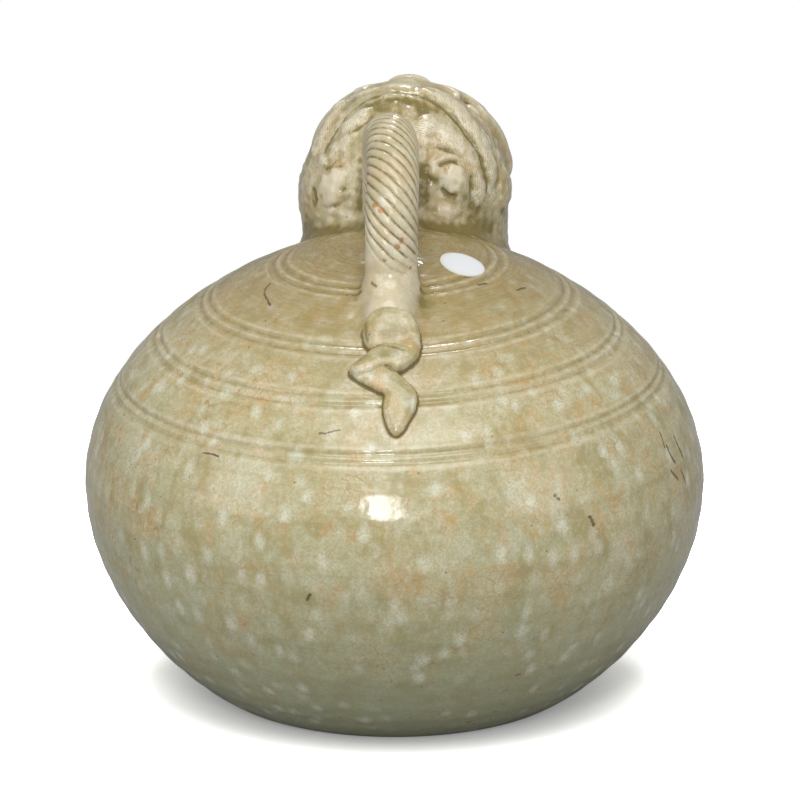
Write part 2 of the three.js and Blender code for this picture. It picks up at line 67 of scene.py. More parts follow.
# The globe, in millimetres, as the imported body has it
BELLY_RADIUS, _, BODY_TOP = (float(side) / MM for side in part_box("body")[1])
BELLY_HEIGHT = 79.0
SHOULDER_RISE = BODY_TOP - BELLY_HEIGHT
BASE_RADIUS = 62.0
LOWER_WALL_POWER = 0.84
SHOULDER_RADIUS_POWER = 1.6
SHOULDER_HEIGHT_POWER = 1.97
WALL = 7.0
FLOOR_THICKNESS = 8.0
GROOVE_RADIUS_SHARES = (0.351, 0.589, 0.749, 0.882)
GROOVE_PAIR_GAPS = (4.0, 3.8, 3.4, 3.2)  # along the wall, from the neck outwards
SKIRT_PROUD = 0.03  # a luted piece ends in a skirt of clay this far above the globe's surface
SKIRT_SUNK = 0.5  # and this far below it at its very edge

# The head
HEAD_FORWARD = 66.0
HEAD_RADIUS = 37.2
DOME_START = BODY_TOP - 2.0
DOME_RISE = 38.5
HEAD_WALL = 6.5
THROAT_RADIUS = 26.0
MOUTH_MIDDLE = np.array([0.0, -94.0, 172.0])
MOUTH_TILT = math.radians(25)
MOUTH_AXIS = np.array([0.0, -math.cos(MOUTH_TILT), math.sin(MOUTH_TILT)])
MOUTH_UP = np.array([0.0, math.sin(MOUTH_TILT), math.cos(MOUTH_TILT)])
SPOUT_RADIUS = 34.6
SPOUT_BORE = 27.5
LIP_WIDTH = 9.5
LIP_DEPTH = 8.0
LIP_MIDDLE = SPOUT_RADIUS + 2.2 - LIP_WIDTH / 2

# The handle
BAR_RADIUS = 9.6
HANDLE_BACK = 38.0
HANDLE_FRONT = 22.0
HANDLE_SPRING = BODY_TOP + 9.0
HANDLE_RISE = 28.8
HANDLE_SIDEWAYS = 4.7
HANDLE_SHIFT = -1.3
HANDLE_END = 171.0


def linear(code):
    """The linear colour of an sRGB hex value."""
    parts = [int(code[i:i + 2], 16) / 255 for i in (1, 3, 5)]
    return tuple(p / 12.92 if p <= 0.04045 else ((p + 0.055) / 1.055) ** 2.4 for p in parts)


# Settings

def in_metres(name, description, millimetres):
    return FloatProperty(name=name, description=description, default=millimetres * MM, unit="LENGTH")


def in_colour(name, description, code):
    return FloatVectorProperty(
        name=name, description=description, default=linear(code), subtype="COLOR", min=0, max=1)


def in_watts(name, description, watts):
    return FloatProperty(name=name, description=description, default=watts, unit="POWER")


class VesselSizes(bpy.types.PropertyGroup):
    groove_depth: in_metres("Groove depth", "Depth of each turned groove on the shoulder", 0.5)
    groove_width: in_metres("Groove width", "Width of each turned groove", 3.3)
    throwing_depth: in_metres("Throwing marks", "Height of the finger ridges left by throwing", 0.09)
    label_size: in_metres("Label size", "Width of the round paper label", 16.8)
    groove_tilt: FloatProperty(
        name="Groove tilt", description="How far the grooves lean from level",
        default=math.radians(1.5), subtype="ANGLE")


class HeadSizes(bpy.types.PropertyGroup):
    clay_step: in_metres("Clay step", "Spacing of the points that the head is modelled on", 0.8)
    neck_fillet: in_metres("Neck fillet", "How widely the head runs into the shoulder", 9.0)


class HandleSizes(bpy.types.PropertyGroup):
    strands: IntProperty(name="Strands", description="Flutes round the bar", default=11, min=3, max=16)
    strand_depth: in_metres("Strand depth", "Depth of the creases between strands", 0.8)
    twist_length: in_metres("Twist length", "Length of bar to one whole turn", 40)
    smooth_foot: in_metres("Smooth foot", "Length left untwisted above the shoulder", 11)
    fade_length: in_metres("Fade length", "Length over which the strands die out", 8)
    foot_lean: in_metres("Foot lean", "How much lower the strands reach at the right than at the back", 8)
    loosening: FloatProperty(
        name="Loosening", description="Turns by which the twist lags behind towards the foot", default=0.04)


class TailSizes(bpy.types.PropertyGroup):
    clay_step: in_metres("Clay step", "Spacing of the points that the tail is modelled on", 0.4)


class GlazeColours(bpy.types.PropertyGroup):
    celadon: in_colour("Celadon", "The glaze at its usual thickness", "#AEB08F")
    ochre: in_colour("Ochre glaze", "The glaze where iron warms it in patches", "#C19A62")
    warm: in_colour("Warm glaze", "The glaze where it fired warmer", "#C9B68E")
    olive: in_colour("Olive glaze", "The darker mottling of the glaze", "#9C9060")
    spot: in_colour("Spots", "The pale spots over the dimples", "#D6D7C3")
    # Makes the colour darker and greener towards the bottom of the wall
    cool: in_colour("Cool glaze", "The greener glaze low on the wall", "#9AA588")
    # Thick glaze in hollows, and also the painted shade in creases, corners and round the tail
    pooled: in_colour("Pooled glaze", "The glaze where it gathered thick", "#776A38")
    # Thin glaze on edges, and also the painted highlights on bumps, beside the grooves and on the handle's
    # foot
    thin: in_colour("Thin glaze", "The glaze where it ran off an edge", "#DFD6BE")
    stain: in_colour("Stain", "Brown stain on the shoulder round the neck", "#8D7745")
    rust: in_colour("Rust", "Ochre flecks and the stained crackle", "#A5763F")
    iron: in_colour("Iron specks", "Dark iron specks", "#4F3D24")


class StageLevels(bpy.types.PropertyGroup):
    key: in_watts("Key", "Power of the frontal softbox", 7.0)
    top: in_watts("Top", "Power of the overhead softbox", 17.0)
    left: in_watts("Left", "Power of the softbox on the left", 5.0)
    right: in_watts("Right", "Power of the softbox on the right", 3.5)
    face: in_watts("Face", "Power of the softbox before the face", 5.0)
    world: FloatProperty(name="World", description="Level of the even light all round", default=0.38)


# Helpers

def smooth_step(values, low, high):
    share = np.clip((values - low) / (high - low), 0, 1)
    return share * share * (3 - 2 * share)


def smooth_path(points, spacing):
    """A smooth line through the points, with a point about every spacing."""
    points = np.asarray(points, float)
    padded = np.vstack([2 * points[0] - points[1], points, 2 * points[-1] - points[-2]])
    line = []
    for before, start, end, after in zip(padded, padded[1:], padded[2:], padded[3:]):
        steps = max(int(np.linalg.norm(end - start) / spacing), 1)
        for share in np.arange(steps) / steps:
            line.append(0.5 * (
                2 * start + (end - before) * share
                + (2 * before - 5 * start + 4 * end - after) * share ** 2
                + (3 * start - before - 3 * end + after) * share ** 3
            ))
    line.append(points[-1])
    return np.array(line)


def finish_piece(name, points, faces, material, replaced=(), attributes=None):
    """Makes a mesh object at the origin from points in millimetres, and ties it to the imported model."""
    mesh = bpy.data.meshes.new(name)
    mesh.from_pydata(np.asarray(points) * MM, [], faces)
    for key, values in (attributes or {}).items():
        write(mesh, key, values)
    mesh.validate()
    return settle(placed(name, mesh), material, replaced)


def write(mesh, key, values):
    """Writes one number for each point on a mesh, for its material to read."""
    layer = mesh.attributes.new(key, "FLOAT", "POINT")
    layer.data.foreach_set("value", np.ascontiguousarray(values, dtype=np.float32))


def placed(name, data):
    """A new object in the scene, at the origin."""
    piece = bpy.data.objects.new(name, data)
    bpy.context.scene.collection.objects.link(piece)
    return piece


def settle(piece, material, replaced=()):
    """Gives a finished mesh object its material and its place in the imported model."""
    piece.data.materials.clear()
    piece.data.materials.append(material)
    piece.data.shade_smooth()
    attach(piece, "root")
    if replaced:
        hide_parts(*replaced)
    return piece


# The globe's wall

def lower_wall_radius(height):
    below = 1 - height / BELLY_HEIGHT
    return BASE_RADIUS + (BELLY_RADIUS - BASE_RADIUS) * (1 - below ** 2) ** LOWER_WALL_POWER


def shoulder_height(radius):
    share = np.minimum(radius / BELLY_RADIUS, 1)
    rise = (1 - share ** SHOULDER_RADIUS_POWER) ** (1 / SHOULDER_HEIGHT_POWER)
    return BELLY_HEIGHT + SHOULDER_RISE * rise


class GlobeWall:
    """The globe's outline from its base edge to its closed top, with its length and slope."""

    def __init__(self, steps=1400):
        climb = np.linspace(0, math.pi / 2, steps)
        lower_height = BELLY_HEIGHT * (1 - np.cos(climb))
        upper_radius = BELLY_RADIUS * np.cos(climb)[1:]
        lower = np.stack([lower_wall_radius(lower_height), lower_height], 1)
        upper = np.stack([upper_radius, shoulder_height(upper_radius)], 1)
        self.line = np.vstack([lower, upper])
        moves = np.diff(self.line, axis=0)
        self.length = np.concatenate([[0], np.cumsum(np.linalg.norm(moves, axis=1))])
        slope = np.gradient(self.line, self.length, axis=0)
        slope /= np.linalg.norm(slope, axis=1)[:, None]
        self.normal = np.stack([slope[:, 1], -slope[:, 0]], 1)

    def at(self, lengths):
        """Radius, height and outward normal at lengths along the wall."""
        columns = [self.line[:, 0], self.line[:, 1], self.normal[:, 0], self.normal[:, 1]]
        return np.stack([np.interp(lengths, self.length, column) for column in columns], -1)

    def length_at_radius(self, radius):
        """The length along the wall where the shoulder has a radius."""
        shoulder = self.line[:, 1] >= BELLY_HEIGHT
        return np.interp(-radius, -self.line[shoulder, 0], self.length[shoulder])

    def table(self, low, high, step):
        """Distance outside the wall, and length along it, on a grid of radius and height."""
        radii = np.arange(low[0], high[0] + step, step)
        heights = np.arange(low[1], high[1] + step, step)
        thinned = slice(None, None, 3)
        line, normal, length = self.line[thinned], self.normal[thinned], self.length[thinned]
        distance = np.empty((len(radii), len(heights)), np.float32)
        nearest_length = np.empty_like(distance)
        for i, radius in enumerate(radii):
            away = (radius - line[:, 0]) ** 2 + (heights[:, None] - line[:, 1]) ** 2
            nearest = away.argmin(1)
            offset = (radius - line[nearest, 0]) * normal[nearest, 0]
            distance[i] = offset + (heights - line[nearest, 1]) * normal[nearest, 1]
            nearest_length[i] = length[nearest]
        return WallTable(low, step, distance, nearest_length)


class WallTable:
    def __init__(self, low, step, distance, length):
        self.low, self.step, self.distance, self.length = low, step, distance, length

    def look_up(self, radius, height):
        """Distance outside the wall, and length along it, for points given by radius and height."""
        return bilinear((self.distance, self.length), *(
            (place - start) / self.step for place, start in zip((radius, height), self.low)))


def bilinear(grids, i, j):
    """Values of grids of one size between their rows and columns."""
    rows, columns = grids[0].shape
    i, j = np.clip(i, 0, rows - 1.001), np.clip(j, 0, columns - 1.001)
    row, column = i.astype(np.int32), j.astype(np.int32)
    a, b = (i - row).astype(np.float32), (j - column).astype(np.float32)
    results = []
    for values in grids:
        near = values[row, column] * (1 - b) + values[row, column + 1] * b
        far = values[row + 1, column] * (1 - b) + values[row + 1, column + 1] * b
        results.append(near * (1 - a) + far * a)
    return results


WALL_TABLE_STEP = 0.6
wall = GlobeWall()
wall_table = wall.table((0, -4), (BELLY_RADIUS + 12, BODY_TOP + 16), WALL_TABLE_STEP)


# Clay that is added, pressed and cut on a grid of distances

def smooth_least(first, second, blend):
    near = np.maximum(blend - np.abs(first - second), 0)
    return np.minimum(first, second) - near * near / (4 * blend)


class Clay:
    """A block of space as distances in millimetres: below 0 is clay, and above 0 is air."""

    def __init__(self, low, high, step):
        self.low, self.step = np.asarray(low, float), step
        counts = np.ceil((np.asarray(high) - self.low) / step).astype(int) + 1
        self.lines = [(self.low[i] + step * np.arange(n)).astype(np.float32) for i, n in enumerate(counts)]
        self.air = np.full(counts, 100.0, np.float32)

    def window(self, low, high):
        """The part of the grid between two corners, and its x, y and z."""
        start, stop = (np.subtract(corner, self.low) / self.step for corner in (low, high))
        start = np.clip(np.floor(start), 0, self.air.shape).astype(int)
        stop = np.clip(np.ceil(stop) + 1, 0, self.air.shape).astype(int)
        where = tuple(map(slice, start, stop))
        return where, *np.ix_(*(line[part] for line, part in zip(self.lines, where)))

    def everywhere(self):
        return np.ix_(*self.lines)

    def join(self, distance, blend, where=slice(None)):
        self.air[where] = smooth_least(self.air[where], distance, blend)

    def cut(self, distance, blend, where=slice(None)):
        self.air[where] = -smooth_least(-self.air[where], distance, blend)

    def lump(self, middle, radii, blend, axes=None, act=None):
        """Joins an ellipsoid whose axes are the rows of axes, or does another act with it."""
        reach = max(radii) + blend + 2 * self.step
        where, x, y, z = self.window(np.subtract(middle, reach), np.add(middle, reach))
        (act or self.join)(ellipsoid(x, y, z, middle, radii, axes), blend, where)

    def hollow(self, *shape):
        """Cuts an ellipsoid away."""
        self.lump(*shape, act=self.cut)

    def near_path(self, path, reach):
        """How far each place near a path lies from it, and the share of the path's length there."""
        where = self.window(path.min(0) - reach, path.max(0) + reach)[0]
        best = np.full([part.stop - part.start for part in where], 1e3, np.float32)
        share = np.zeros_like(best)
        base = np.array([part.start for part in where])
        steps = np.linalg.norm(np.diff(path, axis=0), axis=1)
        marks = np.concatenate([[0], np.cumsum(steps)]) / max(steps.sum(), 1e-6)
        for i, (start, end) in enumerate(zip(path, path[1:])):
            part, *places = self.window(np.minimum(start, end) - reach, np.maximum(start, end) + reach)
            local = tuple(slice(max(s.start - b, 0), max(s.stop - b, 0)) for s, b in zip(part, base))
            along = end - start
            offset = [place - first for place, first in zip(places, start)]
            t = sum(step * way for step, way in zip(offset, along)) / (float(along @ along) or 1e-9)
            t = np.clip(t, 0, 1)
            away = np.sqrt(sum((step - t * way) ** 2 for step, way in zip(offset, along)))
            closer = away < best[local]
            best[local] = np.where(closer, away, best[local])
            share[local] = np.where(closer, marks[i] + t * (marks[i + 1] - marks[i]), share[local])
        return where, best, share

    def press(self, path, width, height, edge=1.0, taper=0.0):
        """Raises a band along a path, or sinks it where height is below 0. edge is the sloping share."""
        path = smooth_path(path, 1.2)
        where, away, share = self.near_path(path, width / 2 + self.step)
        half = width / 2
        if taper:
            half = half * np.clip(np.minimum(share, 1 - share) / taper, 0.02, 1) ** 0.6
            height = height * np.clip(np.minimum(share, 1 - share) / taper, 0, 1) ** 0.5
        inside = np.clip(1 - away / half, 0, 1) / edge
        level = np.clip(inside, 0, 1)
        self.air[where] -= height * level * level * (3 - 2 * level)

    def air_at(self, points):
        return self.sample(self.air, points)

    def sample(self, values, points):
        """Values of a grid at points, in millimetres."""
        place = (np.asarray(points) - self.low) / self.step
        place = np.clip(place, 0, np.array(self.air.shape) - 1.001)
        cell = place.astype(int)
        share = place - cell
        total = 0
        for corner in np.ndindex(2, 2, 2):
            weight = np.prod(np.where(corner, share, 1 - share), axis=-1)
            i, j, k = (cell + corner).T
            total = total + weight * values[i, j, k]
        return total

    def relief(self, radius):
        """How far each place stands proud of the clay round it, or is sunk in it where below 0."""
        count = max(int(round(radius / self.step)), 1)
        near = np.clip(self.air, -2 * radius, 2 * radius)
        spread = near.copy()
        for axis in range(3):
            spread = box_mean(spread, count, axis)
        return (spread - near) / radius

    def skin(self):
        """The surface as points in millimetres and four-sided faces, facing out."""
        grid = openvdb.FloatGrid(4 * self.step)
        grid.copyFromArray(np.clip(self.air, -4 * self.step, 4 * self.step), tolerance=0.0)
        points, quads = grid.convertToQuads(0.0)
        points = points * self.step + self.low
        corners = points[quads]
        volume = sum((corners[:, 0] * np.cross(corners[:, i], corners[:, i + 1])).sum() for i in (1, 2))
        return points, quads if volume > 0 else quads[:, ::-1]


def box_mean(values, count, axis):
    padded = np.concatenate([
        np.repeat(values.take([0], axis), count + 1, axis), values,
        np.repeat(values.take([-1], axis), count, axis),
    ], axis)
    total = np.cumsum(padded, axis=axis, dtype=np.float64)
    size = values.shape[axis]
    high = total.take(range(2 * count + 1, 2 * count + 1 + size), axis)
    low = total.take(range(0, size), axis)
    return ((high - low) / (2 * count + 1)).astype(np.float32)


def ellipsoid(x, y, z, middle, radii, axes=None):
    dx, dy, dz = x - middle[0], y - middle[1], z - middle[2]
    rows = np.eye(3) if axes is None else np.asarray(axes)
    parts = [row[0] * dx + row[1] * dy + row[2] * dz for row in rows]
    first = np.sqrt(sum((part / radius) ** 2 for part, radius in zip(parts, radii)))
    second = np.sqrt(sum((part / radius ** 2) ** 2 for part, radius in zip(parts, radii)))
    return first * (first - 1) / np.maximum(second, 1e-6)


def direction(azimuth, elevation):
    """A direction from its angle round from -Y towards +X, and its angle up."""
    flat = math.cos(elevation)
    return np.array([math.sin(azimuth) * flat, -math.cos(azimuth) * flat, math.sin(elevation)])


def camera_axes():
    """The directions back to the camera, right and up in the picture."""
    back = direction(CAMERA_AZIMUTH, CAMERA_ELEVATION)
    right = np.array([math.cos(CAMERA_AZIMUTH), math.sin(CAMERA_AZIMUTH), 0.0])
    return back, right, np.cross(back, right)


def facing(out):
    """The axes of a form that faces out: level, up and out."""
    level = np.cross(out, (0, 0, 1))
    level /= np.linalg.norm(level)
    return np.array([level, np.cross(level, out), out])


def first_touch(air_at, starts, travel, direction):
    """The first places where lines of sight meet a surface, or pass nearest to it."""
    rays = starts[:, None, :] + travel[None, :, None] * direction
    air = air_at(rays.reshape(-1, 3)).reshape(len(starts), -1)
    first = np.argmax(air < 0, axis=1)
    missed = ~(air < 0).any(axis=1)
    first[missed] = np.argmin(air[missed], axis=1)
    return rays[np.arange(len(starts)), first]


def seen(air_at, pixels):
    """Where a surface shows in the photograph at some pixels."""
    back, right, up = camera_axes()
    pixels = np.atleast_2d(np.asarray(pixels, float))
    across = (pixels[:, :1] - AXIS_PIXEL[0]) * PIXEL
    rise = (AXIS_PIXEL[1] - pixels[:, 1:]) * PIXEL
    return first_touch(air_at, across * right + rise * up, np.arange(150, -150, -0.25), back)


def globe_air(points):
    """Distances outside the globe."""
    return wall_table.look_up(np.hypot(points[:, 0], points[:, 1]), points[:, 2])[0]


# The glaze

def add_node(tree, kind, settings=None, inputs=()):
    """Adds a node with its settings, its input values and its links.

    Inputs go by their names, or in a row in the order of the sockets, which for a Map Range is value, from
    low, from high, to low and to high. A node given as a value links its output.
    """
    node = tree.nodes.new(kind)
    for key, value in (settings or {}).items():
        setattr(node, key, value)
    for key, value in inputs.items() if isinstance(inputs, dict) else enumerate(inputs):
        if isinstance(value, bpy.types.Node):
            value = next(output for output in value.outputs if output.enabled)
        if isinstance(value, bpy.types.NodeSocket):
            tree.links.new(value, node.inputs[key])
        else:
            node.inputs[key].default_value = value
    return node


MATH, VECTOR, RANGE, MIX = "ShaderNodeMath", "ShaderNodeVectorMath", "ShaderNodeMapRange", "ShaderNodeMix"
NOISE, CELLS, BUMP = "ShaderNodeTexNoise", "ShaderNodeTexVoronoi", "ShaderNodeBump"
WRITTEN, PLACE = "ShaderNodeAttribute", "ShaderNodeTexCoord"
SMOOTH = {"interpolation_type": "SMOOTHSTEP"}
COLOUR = {"data_type": "RGBA"}
TIMES, PLUS, MINUS, TIMES_PLUS, SCALE, LENGTH, OVER, SINE, POWER = ({"operation": name} for name in (
    "MULTIPLY", "ADD", "SUBTRACT", "MULTIPLY_ADD", "SCALE", "LENGTH", "DIVIDE", "SINE", "POWER"))


def per_metre(millimetres):
    """A texture's scale, from the size of its features."""
    return 1 / (millimetres * MM)


def new_material(name):
    """An empty node material, and what adds nodes to it."""
    material = bpy.data.materials.new(name)
    material.use_nodes = True
    material.node_tree.nodes.clear()
    return material, partial(add_node, material.node_tree)


def glaze(name, bump_height, paleness=0.0, mottling=0.0, stains=(), stain="iron"):
    """Celadon: a wood-ash glaze over grey stoneware, glossy and a little waxy.

    It is grey-green where it is thick and pale where it is thin. It fired in soft pale spots over small
    dimples, with ochre stains, iron specks and a faint crackle. bump_height is the depth of all this in
    millimetres, paleness how much paler luted clay is, and mottling how strong the widest patches are.
    stains are places in millimetres, each with the radius of a mark there, and stain is their colour.
    """
    material, add = new_material(name)
    place = add(PLACE).outputs["Object"]
    height = add("ShaderNodeSeparateXYZ", inputs=(place,)).outputs["Z"]
    clear, relief, comb, combed = (
        add(WRITTEN, {"attribute_name": key}).outputs["Fac"] for key in ("clear", "relief", "comb", "combed"))

    # Lengths round and along the turning, so that streaks follow the wheel
    spun = add(VECTOR, TIMES, (place, (1, 1, 0)))
    radius = add(VECTOR, LENGTH, (spun,)).outputs["Value"]
    around = add(VECTOR, {"operation": "NORMALIZE"}, (spun,))
    around = add(VECTOR, SCALE, {0: around, "Scale": 8 * MM})
    drop = add("ShaderNodeCombineXYZ", inputs={"Z": add(MATH, MINUS, (height, radius))})
    wheel = add(VECTOR, PLUS, (around, drop))

    # Small waves pull the patches, spots and cracks out of shape
    wave = add(NOISE, inputs={"Vector": place, "Scale": per_metre(6), "Detail": 3.0})
    wave = add(VECTOR, MINUS, (wave.outputs["Color"], (0.5, 0.5, 0.5)))
    wave = add(VECTOR, SCALE, {0: wave, "Scale": 7 * MM})
    warped = add(VECTOR, PLUS, (place, wave))
    rippled = add(VECTOR, PLUS, (place, add(VECTOR, SCALE, {0: wave, "Scale": 0.35})))
    # The glaze ran a little downwards, so its patches are taller than they are wide
    running = add(VECTOR, TIMES, (rippled, (1, 1, 0.62)))

    # Noise that comes in between two of its levels: what it lies on, feature size in millimetres, detail,
    # roughness, the two levels, and the shares at them. First the tones of the glaze, from the widest down
    tones = [
        ((place, 60, 3, 0.55, 0.42, 0.62, 0, 0.3), "warm"),
        ((place, 16, 4, 0.62, 0.46, 0.66, 0, 0.55), "warm"),
        ((running, 9, 4, 0.65, 0.47, 0.7, 0, 0.7), "ochre"),
        ((place, 22, 4, 0.6, 0.46, 0.68, 0, 0.25), "spot"),
        ((running, 11, 3, 0.6, 0.46, 0.68, 0, 0.7), "olive"),
        ((wheel, 5, 4, 0.65, 0.48, 0.72, 0, 0.45), "olive"),
        ((running, 7, 3, 0.5, 0.5, 0.7, 0, 0.35), "spot"),
        ((place, 13, 4, 0.6, 0.42, 0.66, 0, 0.75 * mottling), "ochre"),
        ((place, 10, 4, 0.6, 0.44, 0.64, 0, 0.8 * mottling), "olive"),
        ((rippled, 8, 4, 0.6, 0.46, 0.68, 0, 0.7 * mottling), "thin"),
        ((place, 2.4, 3, 0.7, 0.5, 0.66, 0, 0.28), "olive"),
        ((place, 2.0, 3, 0.7, 0.5, 0.34, 0, 0.22), "spot"),
    ]
    others = [
        (wheel, 1.3, 5, 0.7, 0.3, 0.7, 0.55, 1.0),
        (place, 3.2, 4, 0.7, 0.54, 0.7, 0, 1),
        (place, 28, 2, 0.5, 0.42, 0.66, 0, 0.75),
        (place, 16, 3, 0.5, 0.46, 0.7, 0, 0.6),
        (rippled, 3.5, 4, 0.6, 0.3, 0.7, 0.6, 1.3),
        (place, 14, 3, 0.5, 0.3, 0.7, 0.09, 0.2),
    ]
    clouds = []
    for source, size, detail, rough, *levels in [row for row, _ in tones] + others:
        noise = add(NOISE, inputs={
            "Vector": source, "Scale": per_metre(size), "Detail": detail, "Roughness": rough})
        clouds.append(add(RANGE, SMOOTH, (noise, *levels)))
    streaked, flecks, flecked, crackled, patchy, dull = clouds[len(tones):]
    grain = add(NOISE, inputs={"Vector": place, "Scale": per_metre(0.9), "Detail": 3.0})

    # Soft pale spots 3 to 5 mm across over small dimples, some missing. Iron specks, a third to two thirds
    # of a millimetre across. The crackle: cells of 4 mm, in lines drawn 0.2 mm wide so that they show
    dimples, specks = (add(CELLS, inputs={"Vector": source, "Scale": per_metre(size)})
                       for source, size in ((running, 7.5), (place, 5)))
    some_dimples, some_specks = (
        add("ShaderNodeSeparateColor", inputs=(cells.outputs["Color"],)).outputs[channel]
        for cells, channel in ((dimples, "Green"), (specks, "Red")))
    cracks = add(CELLS, {"feature": "DISTANCE_TO_EDGE"}, {"Vector": rippled, "Scale": per_metre(4.5)})
    spot = add(MATH, TIMES, (
        add(RANGE, SMOOTH, (dimples.outputs["Distance"], 0.02, 0.48, 0.9, 0.0)),
        add(RANGE, SMOOTH, (some_dimples, 0.2, 0.6))))

    # Thin pale glaze and painted highlights on edges, thick olive glaze and painted shade in hollows, from
    # what the modelling wrote on the mesh
    ragged = add(MATH, TIMES_PLUS, (grain, 0.2, -0.1))
    relief = add(MATH, PLUS, (add(MATH, TIMES, (relief, patchy)), ragged))

    # Fine comb strokes in the hair
    stroke = add(MATH, SINE, (add(MATH, TIMES, (comb, math.tau)),))
    groove = add(MATH, TIMES, (
        add(RANGE, SMOOTH, (stroke, -1.0, 0.1, 0.55, 0.0)), add(RANGE, SMOOTH, (grain, 0.35, 0.6))))
    groove = add(MATH, TIMES, (groove, combed))

    # Single brown marks: a firing crack, scars and rust
    mark = 0.0
    for middle, size in stains:
        away = add(VECTOR, {"operation": "DISTANCE"}, (rippled, Vector(middle) * MM)).outputs["Value"]
        spread = add(RANGE, SMOOTH, (away, size * MM * 0.6, size * MM * 1.3, 0.85, 0.0))
        mark = add(MATH, {"operation": "MAXIMUM"}, (spread, mark))

    # What lies over what: each tone, with the factors of its share
    layers = [
        # Lighter and warmer higher up the wall
        ("warm", add(RANGE, SMOOTH, (height, 0.05, 0.14, 0, 0.45))),
        *((tone, cloud) for cloud, (_, tone) in zip(clouds, tones)),
        # Darker and greener towards the bottom
        ("cool", add(RANGE, SMOOTH, (height, 0.0, 0.09, 0.7, 0.0))),
        ("spot", spot),
        # The brown stain on the shoulder round the neck, streaked by the wheel, and not on luted clay
        ("stain", streaked, add(RANGE, SMOOTH, (height, 0.128, 0.172)),
         add(MATH, MINUS, (1.0, clear))),
        ("rust", flecks, flecked),
        ("rust", add(RANGE, SMOOTH, (cracks, 0.0, 0.05, 1.0, 0.0)), crackled),
        ("iron", add(RANGE, SMOOTH, (specks.outputs["Distance"], 0.04, 0.1, 1.0, 0.0)),
         add(RANGE, SMOOTH, (some_specks, 0.7, 0.8, 0, 0.85))),
        ("olive", add(RANGE, None, (grain, 0.4, 0.65, 0.0, 0.45))),
        ("thin", clear, paleness),
        # Pale where the relief is high: thin glaze and painted highlights
        ("thin", add(RANGE, SMOOTH, (relief, 0.05, 1.0, 0, 0.7))),
        # Dark where it is low: thick glaze and painted shade
        ("pooled", add(RANGE, SMOOTH, (relief, -1.3, -0.06, 0.92, 0.0))),
        (stain, add(RANGE, SMOOTH, (grain, 0.3, 0.52, 0.6, 1.0)), mark),
        ("pooled", groove),
    ]
    colours = bpy.context.scene.urinal_glaze
    colour = (*colours.celadon, 1)
    for tone, share, *factors in layers:
        for factor in factors:
            share = add(MATH, TIMES, (share, factor))
        colour = add(MIX, COLOUR, {"Factor": share, "A": colour, "B": (*getattr(colours, tone), 1)})

    # The surface: dimples, soft waves, grain and comb strokes, as shares of bump_height
    waves = add(NOISE, inputs={"Vector": warped, "Scale": per_metre(8), "Detail": 2.0})
    depth = add(MATH, TIMES, (spot, -0.7))
    for rough, share in ((waves, 1.6), (grain, 0.1), (groove, -0.35)):
        depth = add(MATH, TIMES_PLUS, (rough, share, depth))
    bump = add(BUMP, inputs={"Strength": 1.0, "Distance": bump_height * MM, "Height": depth})
    shader = add("ShaderNodeBsdfPrincipled", inputs={
        "Base Color": colour, "Roughness": dull, "IOR": 1.5, "Normal": bump})
    add("ShaderNodeOutputMaterial", inputs=(shader,))
    return material


# Pieces

GROOVE_REACH = 6.5  # to each side of a pair's middle the globe's rows lie close together
GROOVE_WOBBLE = 0.25  # how far a groove wanders, in three waves round the globe
MARK_SPACINGS = (9.5, 23)  # along the wall, of the two rows of throwing marks
MARKS_START = (3, 20)  # the lengths up the wall between which they set in
BESIDE_GROOVE = 2.4  # glaze is thin, with a painted highlight, in a band so far to each side of a groove
THICK_AND_SHADED_ROUND_NECK = 5  # how far from the head the glaze is thick, with painted shade, and how wide that ring is
LINING_ROWS = 34
CUTTER_COLUMNS = 96
THROAT_ENDS = (DOME_START - 70, DOME_START + 40)


def groove_level(length, around, sizes, offset=0.0):
    """How deep the grooves are, from 0 to 1, at lengths along the wall and angles round it.

    With an offset it is the level that a groove would have so far to each side of its middle.
    """
    tilt = math.tan(sizes.groove_tilt)
    level = np.zeros(np.broadcast(length, around).shape)
    half = sizes.groove_width / MM / 2
    for share, gap in zip(GROOVE_RADIUS_SHARES, GROOVE_PAIR_GAPS):
        radius = share * BELLY_RADIUS
        middle = wall.length_at_radius(radius)
        steepness = max(wall.at(middle)[2], 0.2)
        shift = -tilt * radius * np.sin(around) / steepness
        wobble = GROOVE_WOBBLE * np.sin(3 * around + 20 * share)
        for side in (-0.5, 0.5):
            away = np.abs(np.abs(length - middle - shift - wobble - side * gap) - offset) / half
            level = np.maximum(level, np.clip(1 - away ** 2, 0, 1) ** 2)
    return level


def globe_push(length, around, sizes):
    """How far the throwing marks and grooves move the globe's surface off its smooth outline."""
    fine, wide = (math.tau * length / spacing for spacing in MARK_SPACINGS)
    marks = np.sin(fine + 0.6 * np.sin(around)) + 0.7 * np.sin(wide + np.cos(2 * around))
    marks = marks * smooth_step(length, *MARKS_START)
    return sizes.throwing_depth / MM * marks - sizes.groove_depth / MM * groove_level(length, around, sizes)


def tone_marks(points, air_at, marks):
    """How thick (below 0) or thin the glaze is at points, with painted shade and painted highlights, from
    marks on pixels of the photograph.
    """
    total = np.zeros(len(points))
    for radius, strength, pixels in marks:
        path = seen(air_at, pixels)
        if len(path) > 1:
            path = smooth_path(path, max(radius / 2, 0.5))
        away = np.min([((points - place) ** 2).sum(1) for place in path], axis=0)
        total += strength * np.exp(-away / radius ** 2)
    return total


